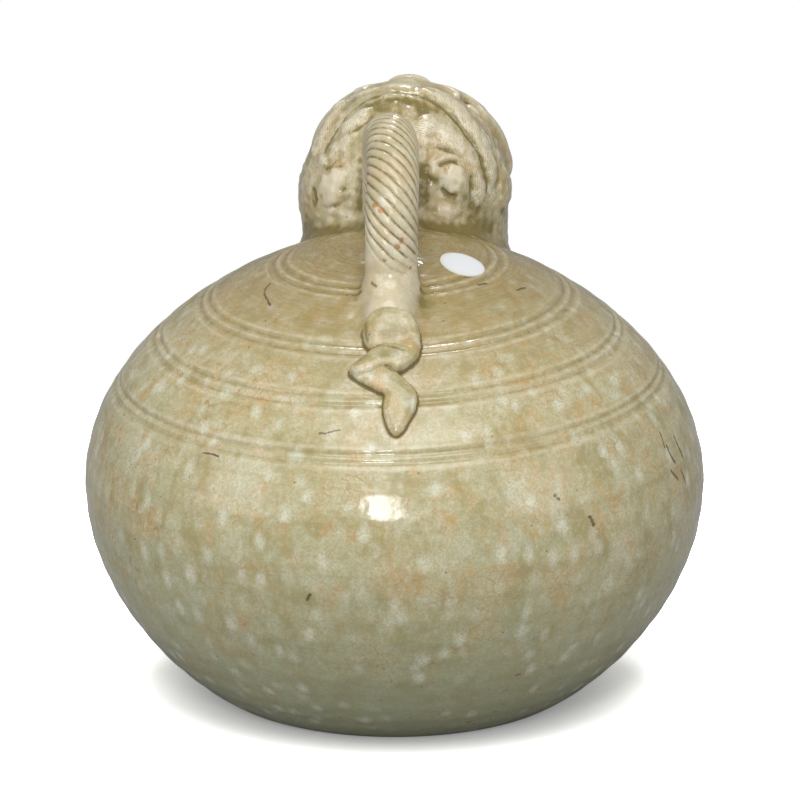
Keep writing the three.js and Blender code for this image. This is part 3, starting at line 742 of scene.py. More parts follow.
def globe_relief(points, sizes):
    """Thick glaze and painted shade in the globe's grooves and round the neck, and thin glaze and painted
    highlights beside the grooves.
    """
    around = np.arctan2(points[..., 0], points[..., 1])
    _, length = wall_table.look_up(np.hypot(points[..., 0], points[..., 1]), points[..., 2])
    beside, inside = (groove_level(length, around, sizes, offset) for offset in (BESIDE_GROOVE, 0))
    from_neck = np.hypot(points[..., 0], points[..., 1] + HEAD_FORWARD) - HEAD_RADIUS
    ring = np.exp(-((from_neck - THICK_AND_SHADED_ROUND_NECK) / THICK_AND_SHADED_ROUND_NECK) ** 2)
    return 0.45 * beside - 0.65 * inside - 0.4 * ring


def luted_relief(relief, clear, points, air_at, marks, vessel):
    """The relief for a luted piece's glaze, with the painted shade and highlights of its marks, which becomes
    the globe's own where its clay runs out.
    """
    return relief + (1 - clear) * globe_relief(points, vessel) + tone_marks(points, air_at, marks)


def globe_clay(x, y, z, vessel):
    """Distances outside the globe with its marks and grooves, on a whole grid of places."""
    x, y, z = np.broadcast_arrays(x, y, z)
    distance, length = wall_table.look_up(np.hypot(x, y), z)
    push = globe_push(length, np.arctan2(x, y), vessel)
    return distance - push * smooth_step(distance, 2.2, 0.7)


def skirt_clay(ground, ends):
    """A skin of clay just over the globe, which sinks into it where ends is 1."""
    return ground - SKIRT_PROUD + (SKIRT_PROUD + SKIRT_SUNK) * ends


# A firing crack, scars and chips on the globe: radius in millimetres, and pixels of the photograph
GLOBE_MARKS = (
    (0.55, [(271, 284), (267, 289), (266, 296), (269, 303), (272, 306)]),
    (0.45, [(205, 452), (213, 453), (221, 456)]),
    (0.45, [(320, 433), (330, 432), (341, 430)]),
    (0.6, [(657, 432), (660, 440), (662, 447)]),
    (0.7, [(664, 446), (668, 455), (672, 462)]),
    (0.55, [(671, 436), (676, 446), (680, 455)]),
    (0.7, [(669, 470), (675, 478)]),
    (0.5, [(679, 470), (683, 482)]),
    (0.9, [(588, 516), (591, 522)]),
    (0.6, [(478, 287), (485, 285)]),
    (0.6, [(516, 291), (524, 289)]),
    (0.6, [(308, 596), (312, 592)]),
    (0.8, [(553, 494), (556, 498)]),
    (0.6, [(515, 672), (519, 670)]),
)


def full_turn(columns):
    return np.linspace(0, math.tau, columns, endpoint=False)


def ring_faces(rows, columns):
    """Faces between rows of points round a form, which end on the two points that follow them all."""
    column = np.arange(columns)
    after = (column + 1) % columns
    end, first = (rows - 1) * columns, rows * columns
    faces = []
    for a in range(0, end, columns):
        b = a + columns
        faces += np.stack([a + column, b + column, b + after, a + after], 1).tolist()
    faces += np.stack([np.full(columns, first), column, after], 1).tolist()
    faces += np.stack([np.full(columns, first + 1), end + after, end + column], 1).tolist()
    return faces


def turned(name, radius, height, columns, ends, middle=0.0):
    """A closed mesh object turned about an upright line, from a radius and a height for each row."""
    turn = full_turn(columns)
    radius, height, turn = np.broadcast_arrays(radius, height, turn)
    points = np.stack([radius * np.sin(turn), radius * np.cos(turn) + middle, height], -1)
    caps = [(0, middle, end) for end in ends]
    mesh = bpy.data.meshes.new(name)
    mesh.from_pydata(np.vstack([points.reshape(-1, 3), caps]) * MM, [], ring_faces(len(points), columns))
    mesh.validate()
    return placed(name, mesh)


class URINAL_OT_globe(bpy.types.Operator):
    """Turns the globe with its grooves and throwing marks, hollows it and cuts the throat"""
    bl_idname = "urinal.globe"
    bl_label = "Thrown Globe"

    def execute(self, context):
        sizes = context.scene.urinal_vessel
        columns, fine, coarse = ((360, 0.5, 1.75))
        total = wall.length[-1]
        centres = [wall.length_at_radius(share * BELLY_RADIUS) for share in GROOVE_RADIUS_SHARES]
        lengths = [0.0]
        while lengths[-1] < total - coarse:
            near = min(abs(lengths[-1] - centre) for centre in centres) < GROOVE_REACH
            lengths.append(lengths[-1] + (fine if near else coarse))
        lengths = np.array(lengths)[:, None]
        radius, height, out, rise = np.moveaxis(wall.at(lengths), -1, 0)
        push = globe_push(lengths, full_turn(columns), sizes)
        outer = turned("globe", radius + out * push, height + rise * push, columns, (0, BODY_TOP))

        radius, height, out, rise = wall.at(np.linspace(0, total, LINING_ROWS)).T
        radius, height = radius - WALL * out, height - WALL * rise
        kept = height > FLOOR_THICKNESS + 0.5
        radius = np.concatenate([[radius[kept][0] - WALL / 2], radius[kept]])[:, None]
        height = np.concatenate([[FLOOR_THICKNESS], height[kept]])[:, None]
        lining = turned("lining", radius, height, CUTTER_COLUMNS, (FLOOR_THICKNESS, BODY_TOP - WALL))
        throat = turned("throat", THROAT_RADIUS, np.array(THROAT_ENDS)[:, None], CUTTER_COLUMNS,
                        THROAT_ENDS, -HEAD_FORWARD)
        for cutter in (lining, throat):
            modifier = outer.modifiers.new("cut", "BOOLEAN")
            modifier.operation = "DIFFERENCE"
            modifier.solver = "MANIFOLD"
            modifier.object = cutter
        graph = context.evaluated_depsgraph_get()
        cut = bpy.data.meshes.new_from_object(outer.evaluated_get(graph))
        for spare in (outer, lining, throat):
            bpy.data.objects.remove(spare)
        piece = placed("vessel_globe", cut)

        places = np.empty(len(cut.vertices) * 3, np.float32)
        cut.vertices.foreach_get("co", places)
        places = places.reshape(-1, 3) / MM
        write(cut, "relief", np.where(globe_air(places) > -2, globe_relief(places, sizes), 0))
        stains = [(place, radius) for radius, pixels in GLOBE_MARKS
                  for place in smooth_path(seen(globe_air, pixels), 1.2 * radius)]
        material = glaze("celadon_glaze_on_globe", bump_height=0.15, stains=stains)
        settle(piece, material, ["body"])
        return {"FINISHED"}


def skull(x, y, z, grow=0.0):
    """Distance outside the head's column and dome."""
    column = np.hypot(x, y + HEAD_FORWARD) - (HEAD_RADIUS + grow)
    dome = ellipsoid(
        x, y, z, (0, -HEAD_FORWARD, DOME_START), (HEAD_RADIUS + grow, HEAD_RADIUS + grow, DOME_RISE + grow))
    return np.where(z > DOME_START, dome, column)


def mouth_frame(x, y, z):
    """Distance along the mouth's axis, and from it."""
    dx, dy, dz = x - MOUTH_MIDDLE[0], y - MOUTH_MIDDLE[1], z - MOUTH_MIDDLE[2]
    along = dy * MOUTH_AXIS[1] + dz * MOUTH_AXIS[2]
    rise = dy * MOUTH_UP[1] + dz * MOUTH_UP[2]
    return along, np.sqrt(dx * dx + rise * rise)


def handle_line():
    """The middle line of the handle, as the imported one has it."""
    foot = shoulder_height(HANDLE_BACK) - 3
    middle, half = (HANDLE_BACK - HANDLE_FRONT) / 2, (HANDLE_BACK + HANDLE_FRONT) / 2
    points = [(0, HANDLE_BACK, foot), (0, HANDLE_BACK, (foot + HANDLE_SPRING) / 2)]
    for angle in np.linspace(0, math.pi, 9):
        y = middle + half * math.cos(angle)
        sideways = HANDLE_SIDEWAYS * smooth_step(HANDLE_BACK - y, 4, 2 * half)
        points.append((sideways, y, HANDLE_SPRING + HANDLE_RISE * math.sin(angle)))
    points.append((HANDLE_SIDEWAYS, -HANDLE_FRONT, HANDLE_END))
    points = np.array(points) + (HANDLE_SHIFT, 0, 0)
    return smooth_path(points, 1.0)


# Bands of hair on the back of the head: width and height in millimetres, sloping share, tapered share
# at each end, and the pixels of the photograph that the middle of the band passes
HAIR_BANDS = {
    "crown_knot": (14, 1.2, 0.9, 0.3, [(372, 92), (384, 88), (400, 86), (414, 87), (430, 93)]),
    "band_left": (11, 1.4, 0.6, 0.1, [
        (314, 160), (318, 146), (325, 130), (336, 113), (350, 100), (364, 93), (380, 89)]),
    "band_right": (10.5, 1.7, 0.55, 0.1, [
        (418, 91), (434, 94), (447, 102), (459, 112), (468, 124), (476, 137), (484, 152), (490, 168),
        (492, 186)]),
    "arch": (7, 0.8, 1.0, 0.3, [(360, 112), (374, 102), (392, 97), (410, 98), (428, 105), (442, 114)]),
    "lock_left_upper": (10, 1.6, 0.9, 0.3, [(340, 138), (352, 124), (363, 115), (374, 107)]),
    "lock_left_lower": (9, 1.1, 0.9, 0.3, [(328, 160), (336, 150), (347, 141), (360, 133)]),
    "lock_right": (15, 1.9, 1.0, 0.45, [
        (420, 122), (438, 127), (452, 137), (463, 151), (472, 166), (478, 182), (480, 197), (475, 208)]),
    "bump_right": (13, 1.3, 1.0, 0.4, [(416, 121), (427, 125), (438, 131)]),
    "ear_rim_right": (3.4, 1.3, 0.9, 0.25, [
        (430, 180), (431, 169), (438, 161), (450, 157), (460, 162), (466, 172), (467, 185)]),
    "under_ear_right": (10, 1.0, 1.0, 0.4, [(434, 214), (445, 212), (458, 214)]),
    "ear_left": (14, 1.8, 0.9, 0.35, [(319, 191), (327, 186), (337, 180), (348, 174)]),
    "ear_left_lower": (9, 1.2, 0.9, 0.35, [(321, 202), (332, 199), (343, 192)]),
    "ear_left_corner": (5, 1.3, 0.9, 0.35, [(319, 157), (324, 161), (328, 166)]),
    "crown_hair": (15, 0.15, 1.0, 0.3, [(372, 111), (388, 104), (406, 103), (424, 108), (440, 117)]),
    "facet_right": (9, 0.9, 0.6, 0.3, [(482, 130), (485, 140), (488, 152)]),
}
HAIR_CREASES = {
    "inside_band_left": (2.2, -1.1, 1, 0.15, [
        (322, 158), (333, 136), (345, 118), (358, 106), (372, 98), (385, 94)]),
    "inside_band_right": (2.2, -1.2, 1, 0.1, [
        (404, 93), (420, 97), (436, 104), (449, 114), (460, 127), (470, 142), (480, 158), (487, 172)]),
    "outside_band_right": (1.8, -1.1, 1, 0.1, [
        (422, 87), (440, 91), (456, 101), (470, 114), (478, 127), (481, 143)]),
    "between_locks_left": (2.0, -0.9, 1, 0.2, [(338, 144), (352, 133), (364, 125), (372, 119)]),
    "under_lock_right": (2.4, -1.1, 1, 0.25, [
        (421, 138), (432, 146), (448, 151), (459, 158), (467, 169), (470, 184), (470, 200)]),
    "outside_lock_right": (2.0, -0.9, 1, 0.25, [(462, 130), (474, 152), (483, 172), (487, 190), (482, 207)]),
    "inside_ear_right": (2.2, -0.9, 1, 0.25, [
        (439, 186), (436, 176), (440, 167), (450, 163), (459, 168), (463, 178)]),
    "under_ear_knob": (2.8, -1.5, 1, 0.25, [(440, 183), (444, 192), (451, 196), (460, 195)]),
    "ear_left_crack_upper": (1.6, -1.2, 1, 0.15, [(324, 160), (327, 169), (336, 162), (343, 157)]),
    "ear_left_crack_side": (1.4, -0.9, 1, 0.2, [(327, 169), (338, 167), (349, 165)]),
    "ear_left_crack_lower": (1.5, -1.2, 1, 0.15, [(329, 201), (336, 194), (341, 192), (348, 187)]),
    "ear_left_hollow": (4.5, -1.8, 1, 0.3, [(313, 187), (314, 195), (317, 205)]),
    "ear_left_bottom": (2.4, -0.8, 1, 0.3, [(320, 208), (332, 207), (345, 201), (356, 190)]),
}
# Small lumps at the ears and on the cheek: the pixel, radii across, up and out, and how softly they join
EAR_LUMPS = (
    ((455, 181), (4.2, 5.2, 1.5), 3.0),
    ((437, 175), (2.4, 3.2, 0.9), 2.4),
    ((504, 187), (6, 6, 1.4), 4.0),
)
# Thick (below 0) and thin glaze on the head, with painted shade and painted highlights: radius in
# millimetres, strength, and pixels
HEAD_TONES = (
    (8.0, -1.125, [(380, 108), (400, 105), (420, 109)]),
    (2.6, -0.825, [(368, 106), (384, 100), (400, 99), (418, 102), (434, 109)]),
    (1.2, -1.35, [(425, 88), (428, 90)]),
    (2.0, -1.05, [(452, 117), (463, 130), (472, 143), (480, 156), (486, 168)]),
    (3.0, -0.675, [(466, 138), (474, 154), (480, 168)]),
    (2.8, -1.2, [(469, 203), (476, 210)]),
    (1.8, -1.5, [(447, 195), (455, 198)]),
    (1.6, -1.2, [(436, 184), (434, 178)]),
    (2.2, -1.35, [(313, 194), (316, 204)]),
    # Painted shadow of the handle on the head, to each side of the bar
    (2.4, -1.05, [(361, 160), (362, 175), (361, 190), (360, 205)]),
    (2.4, -0.9, [(425, 150), (424, 165), (424, 182), (424, 200)]),
    # Thick glaze and painted shade round the base of the neck
    (3.0, -1.5, [(306, 230), (320, 232), (340, 232), (360, 229)]),
    (3.0, -1.5, [(424, 227), (445, 230), (465, 231), (488, 228)]),
    # Painted shade along the head's outline
    (2.0, -0.75, [(306, 215), (303, 200), (305, 180)]),
    (2.0, -0.75, [(503, 215), (505, 200), (503, 180)]),
    # Thick glaze in the crease inside the left band
    (3.0, -0.6, [(330, 145), (345, 128), (356, 118)]),
    # Thin glaze, with painted highlights on the bumps of the crown and ears
    (4.5, 0.75, [(424, 124), (430, 125)]),
    (4.5, 0.6, [(349, 122), (357, 116)]),
    (3.0, 0.6, [(328, 182), (334, 179)]),
    (3.2, 0.675, [(455, 180)]),
    (5.5, 0.525, [(325, 218), (340, 214), (352, 208)]),
    (4.0, 0.75, [(482, 134), (485, 144)]),
    (5.0, 0.525, [(432, 213), (450, 212)]),
    (4.0, 0.525, [(438, 134), (450, 142)]),
)
# The combed bands, and how far the strokes slant across each
COMBED_BANDS = {"band_left": 0.45, "band_right": -0.45, "lock_right": -0.15, "lock_left_upper": 0.4,
                "lock_left_lower": 0.4, "crown_hair": 1.2, "bump_right": -0.3, "facet_right": -0.6}
COMB_PITCH = 0.85  # millimetres from stroke to stroke
COMB_REACH = 8


def comb_marks(points, paths):
    """Where each point lies across the comb strokes, in strokes, and how strongly it was combed."""
    comb, combed = np.zeros(len(points)), np.zeros(len(points))
    for name, path in paths.items():
        path = smooth_path(path, 1.5)
        low, high = path.min(0) - COMB_REACH, path.max(0) + COMB_REACH
        near = np.flatnonzero((points > low).all(1) & (points < high).all(1))
        offset = points[near][:, None, :] - path[None]
        away = np.linalg.norm(offset, axis=2)
        nearest = away.argmin(1)
        along = np.gradient(path, axis=0)
        along /= np.linalg.norm(along, axis=1)[:, None]
        length = np.concatenate([[0], np.cumsum(np.linalg.norm(np.diff(path, axis=0), axis=1))])
        offset = offset[np.arange(len(near)), nearest]
        out = points[near] - (0, -HEAD_FORWARD, DOME_START)
        out /= np.linalg.norm(out, axis=1)[:, None]
        side = (offset * np.cross(along[nearest], out)).sum(1)
        forward = length[nearest] + (offset * along[nearest]).sum(1)
        slant = COMBED_BANDS[name]
        half = HAIR_BANDS[name][0] / 2
        strength = smooth_step(half - away.min(1), 0, 1.2)
        stronger = strength > combed[near]
        phase = (side * math.cos(slant) + forward * math.sin(slant)) / COMB_PITCH
        comb[near] = np.where(stronger, phase, comb[near])
        combed[near] = np.maximum(strength, combed[near])
    return comb, combed


def model_hair(clay):
    """Lays the bands and locks on the back of the head, and returns where the combed ones run."""
    paths = {}
    start = copy.copy(clay)
    start.air = clay.air.copy()
    for name, (width, height, edge, taper, pixels) in {**HAIR_BANDS, **HAIR_CREASES}.items():
        path = seen(start.air_at, pixels)
        clay.press(path, width, height, edge, taper)
        if name in COMBED_BANDS:
            paths[name] = path
    for pixel, radii, blend in EAR_LUMPS:
        place = seen(start.air_at, pixel)[0]
        out = place - (0, -HEAD_FORWARD, place[2] - 4)
        clay.lump(place, radii, blend, facing(out / np.linalg.norm(out)))
    return paths


def finger_dents(x, y, z):
    """Soft dents, 5 to 12 mm apart and between -1 and 1, as fingers leave them in clay."""
    total = 0
    for i, spacing in enumerate((12.0, 9.0, 7.0, 5.5)):
        turn, pitch = 2.4 * i, math.tau / spacing
        first = x * math.cos(turn) + z * math.sin(turn)
        second = y * math.cos(turn + 1) - x * math.sin(turn + 1) + 0.6 * z
        total = total + np.sin(pitch * first + i) * np.sin(pitch * second + 2 * i) / 2
    return total


def on_head(clay, around, climb):
    """A place on the head and the way out from it, from degrees round from the back and up."""
    out = direction(math.radians(180 - around), math.radians(climb))
    middle = np.array([[0, -HEAD_FORWARD, DOME_START]])
    return first_touch(clay.air_at, middle, np.arange(70, 10, -0.2), out)[0], out


def round_mouth(radius, angle, lift):
    """A place at an angle round the mouth from its top, lifted along its axis."""
    across = np.array([math.sin(angle), 0, 0])
    return MOUTH_MIDDLE + radius * (MOUTH_UP * math.cos(angle) + across) + MOUTH_AXIS * lift


def on_lip(angle, lift=0.0):
    """A place on the front of the lip."""
    return round_mouth(LIP_MIDDLE, angle, LIP_DEPTH / 2 + lift)


# The face, in degrees round the head from the back and up it
BRIDGE = ((180, 70), (180, 64))
EYE = (112, 46)
EYE_LID = (8.0, 6.2)  # half of its width and height, in millimetres
BROW = ((160, 62), (146, 57), (130, 55), (116, 57))
CHEEK = ((136, 20), (132, 6), (128, -6), (124, -16))
# and in radians round the lip from its top
NOSTRIL = 0.10
WHISKER_PAD = (0.32, 1.15)
WHISKERS = (0.45, 0.67, 0.89)
WHISKER_ROW = 2.4  # millimetres between the rows of holes
FANG = math.radians(34)
FANG_LENGTH, FANG_RADIUS, FANG_SUNK = 8.0, 2.6, 2.0


def model_face(clay):
    """Presses the deep-set eyes, brows, nose and whisker pads behind and round the mouth.

    Lumps and hollows have a middle, radii and a soft edge, and bands have what HAIR_BANDS gives, in
    millimetres.
    """
    def band(places, side, *shape):
        clay.press([on_head(clay, side * around, climb)[0] for around, climb in places], *shape)

    mouth_axes = np.array([[1, 0, 0], MOUTH_UP, MOUTH_AXIS])
    bridge = [on_head(clay, *place)[0] for place in BRIDGE] + [on_lip(0, 1)]
    clay.press(bridge, 12, 0.8, 0.9, 0.4)
    clay.lump(on_lip(0, 0.5) - MOUTH_UP * 0.6, (8.4, 4.0, 5.0), 1.6, mouth_axes)
    for side in (1, -1):
        nostril = on_lip(side * NOSTRIL, 4.6) - MOUTH_UP * 1.5
        clay.hollow(nostril, (1.7, 1.3, 2.6), 0.6, mouth_axes)
        # The socket, the ball in it, its pupil and the lids round it
        eye, out = on_head(clay, side * EYE[0], EYE[1])
        axes = facing(out)
        clay.hollow(eye + out * 2.4, (8.6, 6.6, 4.8), 2.0, axes)
        clay.lump(eye - out * 3.0, (5.0, 4.6, 4.6), 0.5, axes)
        clay.hollow(eye + out * 1.6, (1.6, 1.6, 2.0), 0.3, axes)
        turn = np.linspace(0, math.tau, 13)
        lid = np.stack([EYE_LID[0] * np.cos(turn), EYE_LID[1] * np.sin(turn), 0 * turn - 1], 1)
        clay.press(eye + lid @ axes, 3.0, 0.5, 0.9)
        band(BROW, side, 5.0, 1.2, 0.7, 0.3)
        pad = [on_lip(side * angle, 0.2) for angle in np.linspace(*WHISKER_PAD, 5)]
        clay.press(pad, 9.0, 3.2, 0.8, 0.3)
        band(CHEEK, side, 11, 1.2, 1.0, 0.4)
        for row in (-1, 0, 1):
            for angle in WHISKERS:
                hole = on_lip(side * angle, 3.2) + MOUTH_UP * row * WHISKER_ROW
                clay.hollow(hole, (0.8, 0.8, 1.1), 0.3)


def add_fangs(clay):
    """Sets the four curved fangs inside the lip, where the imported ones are."""
    inner = LIP_MIDDLE - LIP_WIDTH / 2 + FANG_SUNK
    for side in (1, -1):
        for jaw in (1, -1):
            root = round_mouth(inner, side * FANG if jaw > 0 else math.pi - side * FANG, 0)
            point = root - jaw * MOUTH_UP * (FANG_LENGTH + FANG_SUNK)
            bend = (root + point) / 2 + MOUTH_AXIS * 0.8
            where, away, share = clay.near_path(smooth_path([root, bend, point], 1.0), FANG_RADIUS + 2)
            clay.join(away - FANG_RADIUS * np.sqrt(np.clip(1 - share, 0.02, 1)), 1.0, where)


# How the head's clay is laid, in millimetres
HEAD_BLOCK = ((-54, -122, 104), (54, -6, 216))
KEPT_FROM_HEAD = ("body", "handle", "handle_foot", "tail")
SWELL, SWELL_SIDE, SWELL_HEIGHT, SWELL_SPREAD = 2.0, (8, 34), 168, 13  # the head is wider at its left
SPOUT_LENGTH, BORE_LENGTH = 40, 30  # back from the middle of the mouth
NECK_END, NECK_FADE = 112, 124  # the heights where the clay under the chin is gone, and starts to go
HEAD_SKIRT = (11, 17)  # how far from the neck the skirt starts to sink, and is sunk
NAPE_POINTS = -14  # the handle's line from here on runs through the nape
THROAT_WIDENS = (150, 170)  # the heights between which the throat opens into the head's hollow


class URINAL_OT_head(bpy.types.Operator):
    """Models the hollow tiger head with its hair, ears, face and lip, and smears it onto the shoulder"""
    bl_idname = "urinal.head"
    bl_label = "Tiger Head"

    def execute(self, context):
        sizes = context.scene.urinal_head
        step = sizes.clay_step / MM
        clay = Clay(*HEAD_BLOCK, step)
        x, y, z = clay.everywhere()
        clay.air[:] = skull(x, y, z)
        clay.air -= SWELL * smooth_step(x, *SWELL_SIDE) * np.exp(-((z - SWELL_HEIGHT) / SWELL_SPREAD) ** 2)
        along, away = mouth_frame(x, y, z)
        spout_ends = np.maximum(along + LIP_DEPTH / 2, -along - SPOUT_LENGTH)
        clay.join(np.maximum(away - SPOUT_RADIUS, spout_ends), 4)
        lip = np.hypot((away - LIP_MIDDLE) / (LIP_WIDTH / 2), along / (LIP_DEPTH / 2)) - 1
        clay.join(lip * LIP_DEPTH / 2, 2)

        vessel = context.scene.urinal_vessel
        from_axis = np.hypot(x, y + HEAD_FORWARD)
        ground = globe_clay(x, y, z, vessel)
        clay.air += 10 * smooth_step(z, NECK_FADE, NECK_END)
        ends = np.maximum(smooth_step(from_axis - HEAD_RADIUS, *HEAD_SKIRT),
                          smooth_step(z, NECK_END + 6, NECK_END))
        clay.join(skirt_clay(ground, ends), sizes.neck_fillet / MM)
        where, from_bar, _ = clay.near_path(smooth_path(handle_line()[NAPE_POINTS:], 1.0), 24)
        clay.join(from_bar - BAR_RADIUS + 0.4, 7, where)

        paths = model_hair(clay)
        clay.air += 0.3 * finger_dents(x, y, z) * smooth_step(ground, 1, 6) * smooth_step(along, -6, -14)
        model_face(clay)

        # Thick glaze in the hollows and thin glaze on the edges, strong enough to paint their shade and light
        # too
        relief = 3.0 * clay.relief(1.6) + 2.8 * clay.relief(4.5)
        spread = (HEAD_RADIUS - HEAD_WALL - THROAT_RADIUS) * smooth_step(z, *THROAT_WIDENS)
        hollow = np.where(z > DOME_START, skull(x, y, z, -HEAD_WALL), from_axis - THROAT_RADIUS - spread)
        clay.cut(smooth_least(hollow, np.maximum(away - SPOUT_BORE, -along - BORE_LENGTH), 4), 2)
        add_fangs(clay)
        for outside in (ground + 4, HEAD_RADIUS + HEAD_SKIRT[1] + 1 - from_axis, z - NECK_END + 3):
            clay.cut(outside, 0.5)
        points, quads = clay.skin()
        comb, combed = comb_marks(points, paths)
        clear = smooth_step(globe_air(points), 0.8, 5)
        relief = luted_relief(clay.sample(relief, points), clear, points, clay.air_at, HEAD_TONES, vessel)
        attributes = {"relief": relief, "clear": clear, "comb": comb, "combed": combed}
        material = glaze("celadon_glaze_on_head", bump_height=0.12, paleness=0.05, mottling=0.7)
        replaced = [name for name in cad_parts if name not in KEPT_FROM_HEAD]
        finish_piece("tiger_head", points, quads, material, replaced, attributes)
        return {"FINISHED"}


def strand_tree(material):
    """Sweeps a round bar along a line and presses twisted strands into it."""
    tree = bpy.data.node_groups.new("twisted_bar", "GeometryNodeTree")
    add = partial(add_node, tree)
    kinds = {"Line": "Geometry", "Strands": "Int"}
    for name in ("Line", "Radius", "Strands", "Strand Depth", "Twist Length", "Smooth Foot", "Fade Length",
                 "Foot Lean", "Loosening"):
        tree.interface.new_socket(
            name=name, in_out="INPUT", socket_type="NodeSocket" + kinds.get(name, "Float"))
    tree.interface.new_socket(name="Bar", in_out="OUTPUT", socket_type="NodeSocketGeometry")
    given = add("NodeGroupInput").outputs
    store, on_points = "GeometryNodeStoreNamedAttribute", {"data_type": "FLOAT", "domain": "POINT"}

    place = add("GeometryNodeSplineParameter").outputs
    line = add(store, on_points, {"Geometry": given["Line"], "Name": "along", "Value": place["Length"]})
    ring = add("GeometryNodeCurvePrimitiveCircle", {"mode": "RADIUS"}, {
        "Resolution": 176, "Radius": given["Radius"]})
    turn = add(MATH, TIMES, (place["Factor"], math.tau))
    ring = add(store, on_points, {"Geometry": ring, "Name": "around", "Value": turn})
    bar = add("GeometryNodeCurveToMesh", inputs={"Curve": line, "Profile Curve": ring, "Fill Caps": True})
    along, around = (add("GeometryNodeInputNamedAttribute", {"data_type": "FLOAT"}, {"Name": name})
                     for name in ("along", "around"))

    # A crease between each two strands, wound round the bar and fading out above its foot
    above = add(MATH, OVER, (add(MATH, MINUS, (given["Smooth Foot"], along)), given["Smooth Foot"]))
    lag = add(MATH, {"operation": "EXPONENT"}, (above,))
    wound = add(MATH, OVER, (along, given["Twist Length"]))
    wound = add(MATH, TIMES_PLUS, (lag, given["Loosening"], wound))
    phase = add(MATH, TIMES, (add(MATH, TIMES_PLUS, (wound, math.tau, around)), given["Strands"]))
    ridge = add(MATH, SINE, (add(MATH, TIMES, (phase, 0.5)),))
    dip = add(MATH, MINUS, (1.0, add(MATH, {"operation": "ABSOLUTE"}, (ridge,))))
    side = add("ShaderNodeSeparateXYZ", inputs=(add("GeometryNodeInputPosition"),))
    lean = add(MATH, OVER, (side, given["Radius"]))
    start = add(MATH, TIMES_PLUS, (lean, given["Foot Lean"], given["Smooth Foot"]))
    end = add(MATH, PLUS, (start, given["Fade Length"]))
    fade = add(RANGE, SMOOTH, (along, start, end))
    sink = add(MATH, TIMES, (add(MATH, POWER, (dip, 1.7)), fade))
    sink = add(MATH, TIMES, (add(MATH, TIMES, (sink, given["Strand Depth"])), -1.0))
    push = add(VECTOR, SCALE, {0: add("GeometryNodeInputNormal"), "Scale": sink})

    # Glaze gathers in the creases, and is paler towards the foot, partly a painted highlight there
    relief = add(MATH, TIMES, (add(MATH, TIMES_PLUS, (add(MATH, POWER, (dip, 2.0)), -1.9, 0.2)), fade))
    paler = add(RANGE, SMOOTH, (along, 0.02, 0.045, 1.0, 0.7))
    for name, value in (("relief", relief), ("clear", paler)):
        bar = add(store, on_points, {"Geometry": bar, "Name": name, "Value": value})
    bar = add("GeometryNodeSetPosition", inputs={"Geometry": bar, "Offset": push})
    for kind in ("GeometryNodeSetShadeSmooth", "GeometryNodeRealizeInstances"):
        bar = add(kind, inputs={"Geometry": bar})
    bar = add("GeometryNodeSetMaterial", inputs={"Geometry": bar, "Material": material})
    add("NodeGroupOutput", inputs={"Bar": bar})
    return tree


def made_by_nodes(name, source, tree, values, material, replaced=()):
    """Runs a node tree on an object, and keeps the result as a plain mesh piece."""
    modifier = source.modifiers.new("nodes", "NODES")
    modifier.node_group = tree
    for item in tree.interface.items_tree:
        if item.item_type == "SOCKET" and item.in_out == "INPUT" and item.name in values:
            modifier[item.identifier] = values[item.name]
    graph = bpy.context.evaluated_depsgraph_get()
    mesh = bpy.data.meshes.new_from_object(source.evaluated_get(graph))
    source.modifiers.remove(modifier)
    bpy.data.objects.remove(source)
    mesh.name = name
    return settle(placed(name, mesh), material, replaced)


# Rust on the handle: radius in millimetres, and pixels of the photograph
HANDLE_RUST = (
    (1.3, [(375, 208), (381, 213)]),
    (1.2, [(401, 243), (397, 249)]),
    (0.8, [(373, 285), (410, 270), (385, 262)]),
)


def distance_to_line(points, line):
    """How far each point is from the nearest point of a line."""
    return np.min([np.linalg.norm(points - place, axis=1) for place in line[::2]], axis=0)


class URINAL_OT_handle(bpy.types.Operator):
    """Bends the twisted bar over from the shoulder to the back of the head"""
    bl_idname = "urinal.handle"
    bl_label = "Twisted Handle"

    def execute(self, context):
        sizes = context.scene.urinal_handle
        curve = bpy.data.curves.new("handle_line", "CURVE")
        curve.dimensions = "3D"
        line = handle_line()
        points = smooth_path(line, 0.45) * MM
        spline = curve.splines.new("POLY")
        spline.points.add(len(points) - 1)
        spline.points.foreach_set("co", np.hstack([points, np.ones((len(points), 1))]).ravel())
        stains = [(place, radius) for radius, pixels in HANDLE_RUST
                  for place in seen(lambda points: distance_to_line(points, line) - BAR_RADIUS, pixels)]
        # The handle's paleness is partly a painted highlight on its lower part
        material = glaze("celadon_glaze_on_handle", bump_height=0.1, paleness=0.45, mottling=1.0,
                         stains=stains, stain="rust")
        values = {name.replace("_", " ").title(): getattr(sizes, name) for name in sizes.__annotations__}
        values["Radius"] = BAR_RADIUS * MM
        made_by_nodes("twisted_handle", placed("handle_line", curve), strand_tree(material), values,
                      material, ["handle"])
        return {"FINISHED"}


# Clay smeared from the bar's foot onto the shoulder, as HAIR_BANDS gives its bands, and the glaze's tones,
# with painted shadow beside the bar
FOOT_SMEAR = (13, 0.8, 1.0, 0.4, [(363, 295), (357, 303), (351, 312), (346, 321)])
FOOT_TONES = (
    # Painted shadow along each side of the bar and to its right
    (1.2, -0.9, [(361.5, 284), (360, 292), (357, 300)]),
    (1.2, -0.9, [(420.5, 288), (421.5, 298), (422, 307)]),
    (4.0, -0.6, [(425, 300), (429, 312), (431, 324)]),
    (3.0, -0.5, [(352, 300), (345, 310)]),
    (2.6, 0.4, [(359, 308), (353, 318), (348, 326)]),
    (0.7, -1.2, [(372, 284), (377, 288)]),
    (2.4, -0.5, [(370, 294), (378, 299)]),
)
